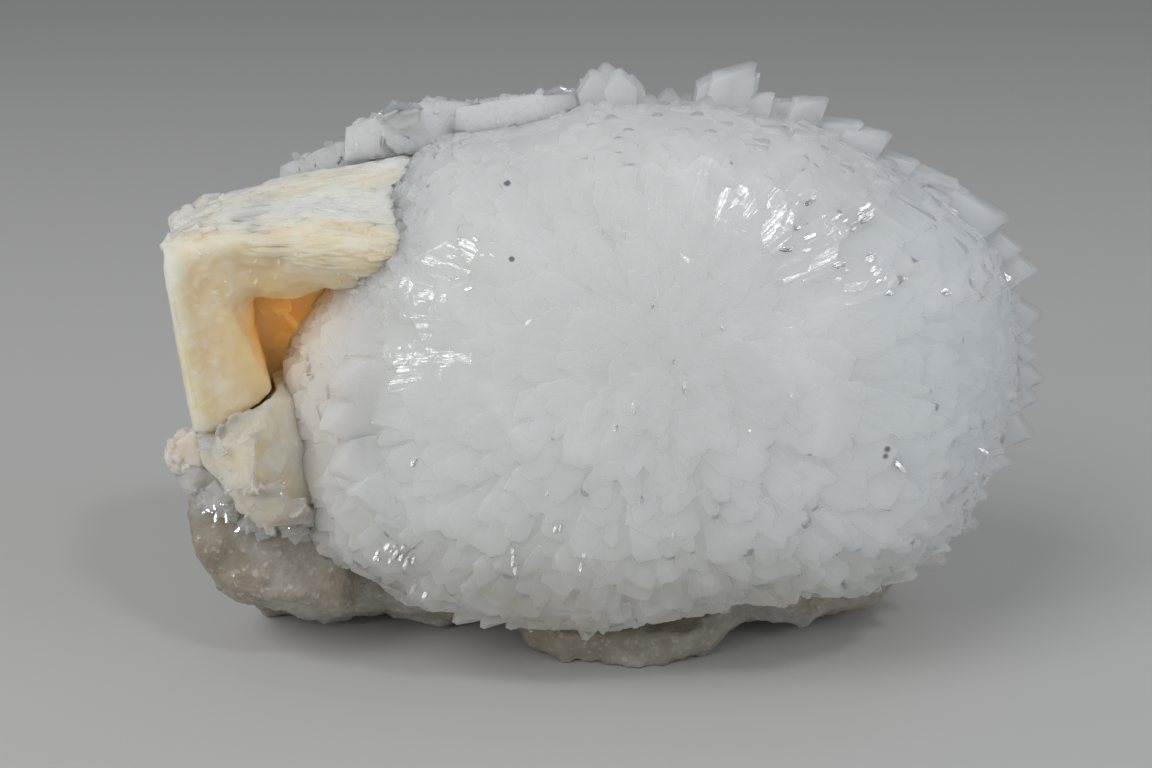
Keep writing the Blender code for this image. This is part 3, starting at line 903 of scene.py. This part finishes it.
def make_peach():
    draw = random.Random(11)
    peach = copy_of_node("peach_crystal", "peach_glassy")
    flakes = lay_flakes(draw, peach, 60, (-29.0, -12.0, 14.0), (-19.0, -6.0, 24.0), (0.7, 2.2), 0.2, 0.05)
    combine(peach, flakes, "UNION")
    apply_modifier(peach, "REMESH", mode="VOXEL", voxel_size=0.11 * MM)
    apply_modifier(peach, "SMOOTH", factor=0.5, iterations=2)
    roughen(peach, clouds("cleaved", 1.2), 0.26)
    glints = skin_glints(draw, peach, 46, (-28.6, -11.0, 14.6), (-20.0, -8.0, 22.0))
    glints += skin_glints(draw, peach, 12, (-26.9, -10.5, 21.2), (-25.8, -9.5, 22.6))
    combine(peach, glints, "UNION")
    only(peach)
    bpy.ops.object.shade_smooth_by_angle(angle=math.radians(35))
    print("peach faces:", len(peach.data.polygons))
    return peach


def make_knob():
    draw = random.Random(12)
    knob = copy_of_node("side_knob", "knob")
    apply_modifier(knob, "REMESH", mode="VOXEL", voxel_size=0.16 * MM)
    apply_modifier(knob, "SMOOTH", factor=0.5, iterations=6)
    roughen(knob, clouds("knobbly", 1.2), 0.5)
    flakes = lay_flakes(draw, knob, 26, (-32.4, -4.0, 17.0), (-29.5, 0.0, 20.9), (0.6, 1.4), 0.5, 0.3)
    return finish_crystal(knob, flakes, 50)


LEDGE_CREST = [(-18.0, 3.6, 42.2), (-13.0, 3.8, 43.8), (-8.0, 3.8, 43.4), (-2.0, 3.8, 43.8)]


def make_ledge():
    draw = random.Random(13)
    ledge = copy_of_node("clear_ledge", "clear_crystal")
    pieces = lay_flakes(draw, ledge, 100, (-18.0, 0.5, 36.0), (-1.0, 6.5, 44.0), (0.6, 2.8), 0.14, 0.05)
    pieces += lay_flakes(draw, ledge, 60, (-18.0, 2.4, 42.6), (-1.5, 5.5, 44.5), (0.4, 1.1), 0.25, 0.35)
    pieces += lay_flakes(draw, ledge, 24, (-24.0, 2.4, 38.6), (-18.0, 5.5, 40.5), (0.5, 1.2), 0.2, 0.25)
    for i in range(26):
        foot, _ = on_skin(ledge, along(LEDGE_CREST, (i + draw.random()) / 26))
        rise = Vector((draw.uniform(-0.5, 0.7), draw.uniform(-0.4, 0.4), 1)).normalized()
        width = draw.uniform(0.6, 1.5)
        tip = foot + rise * draw.uniform(0.1, 0.5)
        pieces.append(plant(TEETH[draw.choice((-1, 0, 1))], tip, rise, width, 2.2, draw.uniform(0.4, 0.9)))
    pieces += skin_glints(draw, ledge, 50, (-16.5, 1.0, 40.5), (-13.5, 3.5, 43.5))
    pieces += skin_glints(draw, ledge, 30, (-18.0, 1.0, 39.0), (-2.0, 3.5, 43.5))
    return finish_crystal(ledge, pieces, 20)


peach = make_peach()
knob = make_knob()
ledge = make_ledge()

# %% [markdown]
# ## The rock
#
# Quartz that grew as a crust breaks into a lumpy, sugary mass. A copy of the rock's solid is
# remeshed and pushed in and out twice: broad lumps first, then grains. Doing it with real points,
# and not only with shading, gives the broken edge that shows against the floor.

# %% Rock
def make_rock():
    draw = random.Random(23)
    rock = copy_of_node("matrix", "quartz_rock")
    combine(rock, lay_flakes(draw, rock, 110, (-28.0, 2.0, 2.0), (25.0, 17.0, 36.0), (2.5, 7.0), 1.3, 0.16), "UNION")
    apply_modifier(rock, "REMESH", mode="VOXEL", voxel_size=0.42 * MM)
    roughen(rock, clouds("lumps", 2.6), 1.1)
    roughen(rock, clouds("grains", 0.9), 0.5)
    for vertex in rock.data.vertices:
        vertex.co.z = max(vertex.co.z, 0.0)
    only(rock)
    bpy.ops.object.shade_smooth()
    print("rock faces:", len(rock.data.polygons))
    return rock


rock = make_rock()

# %% [markdown]
# Under the peach crystal the rock carries a crust of tiny clear quartz crystals: six-sided prisms
# with pyramid tips. One is modelled from a cylinder, and copies are planted along the hollow.

# %% Quartz crust
def quartz_crystal():
    """A six-sided prism with a pyramid at its tip, which is the origin."""
    bpy.ops.object.select_all(action="DESELECT")
    bpy.ops.mesh.primitive_cylinder_add(vertices=6, radius=0.5, depth=1.4, rotation=(math.radians(-90), 0, 0))
    piece = bpy.context.object
    piece.name = "quartz_crystal"
    bpy.ops.object.transform_apply(location=True, rotation=True, scale=True)
    edit_where(piece, lambda co: True)
    bpy.ops.transform.translate(value=(0, -1.2, 0))
    leave_edit()
    edit_where(piece, lambda co: co.y > -1.0)
    bpy.ops.mesh.extrude_region_move(TRANSFORM_OT_translate={"value": (0, 0.5, 0)})
    bpy.ops.transform.resize(value=(0.06, 1, 0.06), center_override=(0, 0, 0))
    leave_edit()
    return piece


QUARTZ = quartz_crystal()
CRUST = [(-30.0, -2.6, 17.0), (-27.6, -3.6, 14.9), (-24.4, -4.2, 13.7), (-21.4, -3.8, 13.6)]


def make_crust():
    draw = random.Random(17)
    crystals = []
    for i in range(110):
        place = along(CRUST, (i + 0.5) / 110)
        place += Vector((draw.uniform(-0.3, 0.3), draw.uniform(-4.0, 0.0), draw.uniform(-1.2, 0.9)))
        spot, out = on_skin(rock, place)
        axis = (out + Vector([draw.uniform(-0.7, 0.7) for _ in range(3)])).normalized()
        size = draw.uniform(0.6, 1.7)
        crystals.append(plant(QUARTZ, spot + axis * size * 0.8, axis, size, size * 1.2, size))
    crust = crystals.pop()
    crust.name = "quartz_crust"
    combine(crust, crystals, "UNION")
    combine(crust, skin_glints(draw, crust, 36, (-30.0, -9.0, 13.4), (-21.0, -5.0, 16.5)), "UNION")
    print("quartz crust faces:", len(crust.data.polygons))
    return crust


crust = make_crust()

# %% [markdown]
# ## Effects that several stones share
#
# Four small node groups hold what more than one of the stones shows: cloudy veils, fine streaks
# that run one way, dark specks, and sugary grain. Each puts out a mask or a height, and every
# material sets its own sizes. Building an effect once keeps the stones alike, as they are in
# nature.

# %% Node groups
def new_group(name, inputs, outputs):
    """A shader node group with its sockets: numbers are floats, and three values a vector."""
    group = bpy.data.node_groups.new(name, "ShaderNodeTree")
    for label, value in inputs.items():
        kind = "NodeSocketVector" if isinstance(value, tuple) else "NodeSocketFloat"
        socket = group.interface.new_socket(label, in_out="INPUT", socket_type=kind)
        socket.default_value = value
    for label in outputs:
        group.interface.new_socket(label, in_out="OUTPUT", socket_type="NodeSocketFloat")
    return group, group.nodes.new("NodeGroupInput"), group.nodes.new("NodeGroupOutput")


def add(tree, kind, **settings):
    node = tree.nodes.new("ShaderNode" + kind)
    for name, value in settings.items():
        setattr(node, name, value)
    return node


def ramp(tree, value, low, high, start=0.0, end=1.0):
    """A smooth step: low gives start, high gives end."""
    node = add(tree, "MapRange", interpolation_type="SMOOTHSTEP")
    tree.links.new(value, node.inputs["Value"])
    for label, number in (("From Min", low), ("From Max", high), ("To Min", start), ("To Max", end)):
        if hasattr(number, "links"):
            tree.links.new(number, node.inputs[label])
        else:
            node.inputs[label].default_value = number
    return node.outputs["Result"]


def veils_group():
    group, given, out = new_group("Veils", {"Vector": (0.0, 0.0, 0.0), "Scale": 1.0, "Low": 0.4, "High": 0.7}, ["Mask"])
    cloud = add(group, "TexNoise")
    cloud.inputs["Detail"].default_value = 5
    cloud.inputs["Distortion"].default_value = 0.6
    group.links.new(given.outputs["Vector"], cloud.inputs["Vector"])
    group.links.new(given.outputs["Scale"], cloud.inputs["Scale"])
    mask = ramp(group, cloud.outputs["Fac"], given.outputs["Low"], given.outputs["High"])
    group.links.new(mask, out.inputs["Mask"])
    return group


def streaks_group():
    """Noise that is drawn out along the Y axis of the vector it is given."""
    group, given, out = new_group("Streaks", {"Vector": (0.0, 0.0, 0.0), "Scale": 1.0, "Length": 10.0}, ["Height"])
    split = add(group, "SeparateXYZ")
    divide = add(group, "Math", operation="DIVIDE")
    join = add(group, "CombineXYZ")
    lines = add(group, "TexNoise")
    lines.inputs["Detail"].default_value = 3
    group.links.new(given.outputs["Vector"], split.inputs[0])
    group.links.new(split.outputs["Y"], divide.inputs[0])
    group.links.new(given.outputs["Length"], divide.inputs[1])
    group.links.new(split.outputs["X"], join.inputs["X"])
    group.links.new(divide.outputs[0], join.inputs["Y"])
    group.links.new(split.outputs["Z"], join.inputs["Z"])
    group.links.new(join.outputs[0], lines.inputs["Vector"])
    group.links.new(given.outputs["Scale"], lines.inputs["Scale"])
    group.links.new(lines.outputs["Fac"], out.inputs["Height"])
    return group


def speck_group():
    """A soft-edged ball: 1 inside the radius round the centre and 0 outside it."""
    start = {"Vector": (0.0, 0.0, 0.0), "Centre": (0.0, 0.0, 0.0), "Radius": 0.001}
    group, given, out = new_group("Speck", start, ["Mask"])
    distance = add(group, "VectorMath", operation="DISTANCE")
    share = add(group, "Math", operation="DIVIDE")
    group.links.new(given.outputs["Vector"], distance.inputs[0])
    group.links.new(given.outputs["Centre"], distance.inputs[1])
    group.links.new(distance.outputs["Value"], share.inputs[0])
    group.links.new(given.outputs["Radius"], share.inputs[1])
    group.links.new(ramp(group, share.outputs[0], 0.5, 1.1, 1.0, 0.0), out.inputs["Mask"])
    return group


def sugar_group():
    """Sugary grain: the height of small cells, and a mask of the few that sparkle."""
    group, given, out = new_group("Sugar", {"Vector": (0.0, 0.0, 0.0), "Scale": 1.0}, ["Height", "Sparkle"])
    cells = add(group, "TexVoronoi")
    tint = add(group, "TexWhiteNoise")
    group.links.new(given.outputs["Vector"], cells.inputs["Vector"])
    group.links.new(given.outputs["Scale"], cells.inputs["Scale"])
    group.links.new(cells.outputs["Distance"], out.inputs["Height"])
    group.links.new(cells.outputs["Position"], tint.inputs["Vector"])
    group.links.new(ramp(group, tint.outputs["Value"], 0.9, 0.94), out.inputs["Sparkle"])
    return group


VEILS = veils_group()
STREAKS = streaks_group()
SPECK = speck_group()
SUGAR = sugar_group()
print("node groups:", [group.name for group in bpy.data.node_groups])

# %% [markdown]
# ## Wiring a material
#
# Each stone uses one Principled shader, with light that scatters under the surface for milky stone
# and light that passes through for glassy stone. The helpers below place a group, mix two colours
# by a mask, and turn a height into a bump.

# %% Material helpers
def stone_material(name, roughness, scatter_weight, scatter_mm, through=0.0):
    """A material with its fixed values set on the shader itself."""
    material = bpy.data.materials.new(name)
    material.use_nodes = True
    tree = material.node_tree
    shader = tree.nodes["Principled BSDF"]
    shader.inputs["Roughness"].default_value = roughness
    shader.inputs["IOR"].default_value = 1.5
    shader.inputs["Subsurface Weight"].default_value = scatter_weight
    shader.inputs["Subsurface Radius"].default_value = (1.0, 0.92, 0.84)
    shader.inputs["Subsurface Scale"].default_value = scatter_mm * MM
    shader.inputs["Transmission Weight"].default_value = through
    where = add(tree, "TexCoord").outputs["Object"]
    return material, tree, shader, where


def use(tree, group, vector, **values):
    node = add(tree, "Group", node_tree=group)
    tree.links.new(vector, node.inputs["Vector"])
    for label, value in values.items():
        node.inputs[label].default_value = value
    return node


def tint(tree, base, colour, mask, strength=1.0):
    """Mixes a colour over a base colour, which is a colour or a socket, by a mask."""
    node = add(tree, "Mix", data_type="RGBA")
    amount = add(tree, "Math", operation="MULTIPLY")
    amount.inputs[1].default_value = strength
    tree.links.new(mask, amount.inputs[0])
    tree.links.new(amount.outputs[0], node.inputs["Factor"])
    if hasattr(base, "links"):
        tree.links.new(base, node.inputs["A"])
    else:
        node.inputs["A"].default_value = (*base, 1)
    node.inputs["B"].default_value = (*colour, 1)
    return node.outputs["Result"]


def bump(tree, shader, height, distance_mm, strength=1.0):
    """Lays one more bump over the ones that the shader already has."""
    node = add(tree, "Bump")
    node.inputs["Distance"].default_value = distance_mm * MM
    node.inputs["Strength"].default_value = strength
    tree.links.new(height, node.inputs["Height"])
    for link in shader.inputs["Normal"].links:
        tree.links.new(link.from_socket, node.inputs["Normal"])
    tree.links.new(node.outputs["Normal"], shader.inputs["Normal"])


def axis_ramp(tree, where, axis, low_mm, high_mm):
    """A mask that rises along one axis, between two places in the specimen's own millimetres."""
    split = add(tree, "SeparateXYZ")
    tree.links.new(where, split.inputs[0])
    offset = SHIFT["XYZ".index(axis)]
    return ramp(tree, split.outputs[axis], (low_mm + offset) * MM, (high_mm + offset) * MM)


# %% [markdown]
# ## Milky goosecreekite
#
# The dome is white with a cold tinge at the right, warm where it touches the cream crystal, and
# darker yellowish-grey towards its foot, which is painted shade with a yellowish tinge. Light goes
# several millimetres in, which washes out the relief.
# Fine lines run outward from the axis of the dome. For those the place is measured round that
# axis: the same noise value runs along each line from the middle to the rim.

# %% Material of the dome
DOME_SPECKS = [
    ((-6.5, -7.1, 39.6), 0.3),
    ((-6.1, -10.8, 35.3), 0.26),
    ((11.7, -3.2, 43.0), 0.55),
    ((12.4, -3.0, 42.8), 0.45),
    ((19.1, -11.6, 22.3), 0.34),
    ((19.0, -11.6, 21.8), 0.3),
    ((25.4, -7.2, 14.5), 0.5),
]


def lines_from_pole(tree, where, frequency):
    """A vector that turns round the dome's axis: X and Z go round it and Y runs out from it."""
    centre = add(tree, "VectorMath", operation="SUBTRACT")
    centre.inputs[1].default_value = TO_FRAME @ NUCLEUS
    tree.links.new(where, centre.inputs[0])
    along_pole = add(tree, "VectorMath", operation="DOT_PRODUCT")
    along_pole.inputs[1].default_value = POLE
    tree.links.new(centre.outputs[0], along_pole.inputs[0])
    part = add(tree, "VectorMath", operation="SCALE")
    part.inputs[0].default_value = POLE
    tree.links.new(along_pole.outputs["Value"], part.inputs["Scale"])
    across = add(tree, "VectorMath", operation="SUBTRACT")
    tree.links.new(centre.outputs[0], across.inputs[0])
    tree.links.new(part.outputs[0], across.inputs[1])
    unit = add(tree, "VectorMath", operation="NORMALIZE")
    tree.links.new(across.outputs[0], unit.inputs[0])
    away = add(tree, "VectorMath", operation="LENGTH")
    tree.links.new(across.outputs[0], away.inputs[0])
    split = add(tree, "SeparateXYZ")
    tree.links.new(unit.outputs[0], split.inputs[0])
    join = add(tree, "CombineXYZ")
    tree.links.new(split.outputs["X"], join.inputs["X"])
    tree.links.new(split.outputs["Z"], join.inputs["Z"])
    tree.links.new(away.outputs["Value"], join.inputs["Y"])
    return join.outputs[0]


def milky_material():
    material, tree, shader, where = stone_material("milky_goosecreekite", 0.15, 1.0, 9.0)
    depth = add(tree, "Attribute", attribute_name="depth").outputs["Fac"]
    colour = tint(tree, (0.76, 0.77, 0.765), (0.74, 0.785, 0.815), axis_ramp(tree, where, "X", 4, 30))
    colour = tint(tree, colour, (0.92, 0.85, 0.72), axis_ramp(tree, where, "X", -16, -24), 0.7)
    # Darker yellowish-grey towards the foot: painted shade where the dome curves away underneath, with a yellowish
    # tinge.
    colour = tint(tree, colour, (0.48, 0.45, 0.36), axis_ramp(tree, where, "Z", 18, 4), 0.9)
    veil = use(tree, VEILS, where, Scale=160, Low=0.46, High=0.72)
    colour = tint(tree, colour, (0.90, 0.91, 0.91), veil.outputs["Mask"], 0.4)
    # Painted shade: the colour turns greyer the deeper a point lies in the hollows between the blades.
    colour = tint(tree, colour, (0.66, 0.68, 0.69), ramp(tree, depth, 0.1, 1.0), 0.12)
    for centre, radius in DOME_SPECKS:
        speck = use(tree, SPECK, where, Centre=tuple(TO_FRAME @ Vector(centre)), Radius=radius * MM)
        colour = tint(tree, colour, (0.10, 0.11, 0.12), speck.outputs["Mask"], 0.85)
    tree.links.new(colour, shader.inputs["Base Color"])
    lines = use(tree, STREAKS, lines_from_pole(tree, where, 1), Scale=26, Length=0.4)
    bump(tree, shader, lines.outputs["Height"], 0.12, 0.5)
    grain = use(tree, VEILS, where, Scale=900, Low=0.3, High=0.7)
    bump(tree, shader, grain.outputs["Mask"], 0.03, 0.5)
    return material


milky = milky_material()
print("made", milky.name)

# %% [markdown]
# ## Cream, peach, clear and rock
#
# The cream crystal is silky: fine streaks along its threads, pale at the top and honey-coloured
# where it is thick. The peach crystal and the clear ledge let part of the light straight through.
# The rock is grey-brown with sugary grain, and a few grains sparkle.

# %% Materials of the other stones
def cream_material():
    material, tree, shader, where = stone_material("cream_sheaf", 0.34, 1.0, 1.8)
    pit = add(tree, "Attribute", attribute_name="pit").outputs["Fac"]
    turned = add(tree, "Mapping")
    turned.inputs["Rotation"].default_value = (0, 0, math.radians(90))
    tree.links.new(where, turned.inputs["Vector"])
    lines = use(tree, STREAKS, turned.outputs[0], Scale=2600, Length=12)
    bands = use(tree, STREAKS, turned.outputs[0], Scale=420, Length=5)
    colour = tint(tree, (0.90, 0.77, 0.53), (0.98, 0.95, 0.87), axis_ramp(tree, where, "Z", 33.5, 37.5))
    colour = tint(tree, colour, (0.84, 0.68, 0.42), ramp(tree, bands.outputs["Height"], 0.42, 0.62), 0.45)
    colour = tint(tree, colour, (0.97, 0.94, 0.87), ramp(tree, lines.outputs["Height"], 0.5, 0.7), 0.45)
    veil = use(tree, VEILS, where, Scale=260, Low=0.45, High=0.68)
    colour = tint(tree, colour, (0.95, 0.92, 0.85), veil.outputs["Mask"], 0.5)
    pale = add(tree, "Math", operation="MULTIPLY")
    tree.links.new(axis_ramp(tree, where, "X", -27.5, -31.0), pale.inputs[0])
    tree.links.new(axis_ramp(tree, where, "Z", 28.0, 33.0), pale.inputs[1])
    colour = tint(tree, colour, (0.93, 0.90, 0.85), pale.outputs[0], 0.8)
    upright = add(tree, "Mapping")
    upright.inputs["Rotation"].default_value = (math.radians(90), 0, 0)
    tree.links.new(where, upright.inputs["Vector"])
    fibres = use(tree, STREAKS, upright.outputs[0], Scale=1100, Length=14)
    outer = add(tree, "Math", operation="MULTIPLY")
    tree.links.new(axis_ramp(tree, where, "X", -28.2, -30.4), outer.inputs[0])
    tree.links.new(ramp(tree, fibres.outputs["Height"], 0.40, 0.60), outer.inputs[1])
    colour = tint(tree, colour, (0.95, 0.87, 0.78), outer.outputs[0], 0.8)
    colour = tint(tree, colour, (0.88, 0.68, 0.38), ramp(tree, pit, 0.15, 0.5))
    colour = tint(tree, colour, (0.92, 0.60, 0.24), ramp(tree, pit, 0.45, 0.8))
    # Painted shade of a narrow slit: a dark spot on the plate.
    slit_shade = use(tree, SPECK, where, Centre=tuple(TO_FRAME @ Vector((-29.4, -6.6, 31.4))), Radius=0.4 * MM)
    colour = tint(tree, colour, (0.35, 0.28, 0.2), slit_shade.outputs["Mask"], 0.7)
    tree.links.new(colour, shader.inputs["Base Color"])
    # Painted glow: emission makes the pit shine as if light came through the stone.
    painted_glow = tint(tree, (0, 0, 0), (0.70, 0.38, 0.10), ramp(tree, pit, 0.4, 0.75))
    tree.links.new(painted_glow, shader.inputs["Emission Color"])
    shader.inputs["Emission Strength"].default_value = 0.2
    bump(tree, shader, lines.outputs["Height"], 0.05, 0.6)
    return material


def peach_material():
    material, tree, shader, where = stone_material("peach_glassy", 0.08, 1.0, 2.8, 0.1)
    veil = use(tree, VEILS, where, Scale=260, Low=0.42, High=0.68)
    colour = tint(tree, (0.98, 0.84, 0.67), (0.99, 0.94, 0.87), veil.outputs["Mask"], 0.7)
    turned = add(tree, "Mapping")
    turned.inputs["Rotation"].default_value = (0, math.radians(52), 0)
    tree.links.new(where, turned.inputs["Vector"])
    veins = use(tree, VEILS, turned.outputs[0], Scale=900, Low=0.56, High=0.66)
    colour = tint(tree, colour, (0.96, 0.93, 0.88), veins.outputs["Mask"], 0.6)
    colour = tint(tree, colour, (0.62, 0.46, 0.30), axis_ramp(tree, where, "Z", 17.0, 14.4), 0.5)
    tree.links.new(colour, shader.inputs["Base Color"])
    steps = use(tree, STREAKS, turned.outputs[0], Scale=1500, Length=0.2)
    bump(tree, shader, steps.outputs["Height"], 0.16, 0.7)
    return material


def knob_material():
    material, tree, shader, where = stone_material("pale_knob", 0.3, 1.0, 1.0)
    veil = use(tree, VEILS, where, Scale=400, Low=0.4, High=0.7)
    colour = tint(tree, (0.84, 0.78, 0.68), (0.93, 0.91, 0.87), veil.outputs["Mask"])
    tree.links.new(colour, shader.inputs["Base Color"])
    return material


def ledge_material():
    material, tree, shader, where = stone_material("clear_crystal", 0.08, 1.0, 4.0, 0.12)
    veil = use(tree, VEILS, where, Scale=300, Low=0.40, High=0.62)
    colour = tint(tree, (0.93, 0.94, 0.94), (0.99, 0.99, 0.99), veil.outputs["Mask"])
    cracks = use(tree, VEILS, where, Scale=1400, Low=0.52, High=0.60)
    colour = tint(tree, colour, (0.80, 0.82, 0.84), cracks.outputs["Mask"], 0.5)
    speck = use(tree, SPECK, where, Centre=tuple(TO_FRAME @ Vector((-16.2, 2.2, 39.6))), Radius=0.5 * MM)
    colour = tint(tree, colour, (0.12, 0.13, 0.15), speck.outputs["Mask"], 0.8)
    tree.links.new(colour, shader.inputs["Base Color"])
    grain = use(tree, SUGAR, where, Scale=1200)
    bump(tree, shader, grain.outputs["Height"], 0.10, 0.5)
    return material


def rock_material():
    material, tree, shader, where = stone_material("sugary_quartz", 0.42, 0.5, 1.0)
    veil = use(tree, VEILS, where, Scale=120, Low=0.40, High=0.68)
    colour = tint(tree, (0.36, 0.31, 0.24), (0.49, 0.47, 0.42), veil.outputs["Mask"])
    fine = use(tree, VEILS, where, Scale=600, Low=0.5, High=0.7)
    colour = tint(tree, colour, (0.62, 0.60, 0.55), fine.outputs["Mask"], 0.22)
    grain = use(tree, SUGAR, where, Scale=3200)
    # The sparkling grains are also painted paler, a painted glint on top of the real gloss set below.
    colour = tint(tree, colour, (0.80, 0.79, 0.76), grain.outputs["Sparkle"], 0.3)
    tree.links.new(colour, shader.inputs["Base Color"])
    gloss = ramp(tree, grain.outputs["Sparkle"], 0.0, 1.0, 0.45, 0.1)
    tree.links.new(gloss, shader.inputs["Roughness"])
    bump(tree, shader, grain.outputs["Height"], 0.08, 0.8)
    return material


def quartz_material():
    material, tree, shader, where = stone_material("clear_quartz", 0.04, 1.0, 1.2, 0.4)
    veil = use(tree, VEILS, where, Scale=700, Low=0.5, High=0.75)
    colour = tint(tree, (0.93, 0.91, 0.87), (0.98, 0.98, 0.97), veil.outputs["Mask"])
    tree.links.new(colour, shader.inputs["Base Color"])
    return material


# %% [markdown]
# ## Putting it together
#
# Every piece gets its material, rides on the one rigid body and takes the place of its solid. The
# shapes that were only patterns for copies are removed.

# %% Dress the specimen
PIECES = [
    (spray, milky, "goosecreekite_spray", "milky_goosecreekite"),
    (cream, cream_material(), "cream_crystal", "cream_sheaf"),
    (peach, peach_material(), "peach_crystal", "peach_glassy"),
    (knob, knob_material(), "side_knob", "pale_knob"),
    (ledge, ledge_material(), "clear_ledge", "clear_crystal"),
    (rock, rock_material(), "matrix", "sugary_quartz"),
    (crust, quartz_material(), "matrix", "sugary_quartz"),
]
for piece, material, node, slot in PIECES:
    piece.data.materials.clear()
    piece.data.materials.append(material)
    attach(piece, "root")
    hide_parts(node)
    print(piece.name, "stands for", node, "with", len(piece.data.polygons), "faces")
for pattern in SCALES + list(TEETH.values()) + [NEEDLE, FLAKE, QUARTZ]:
    bpy.data.objects.remove(pattern)
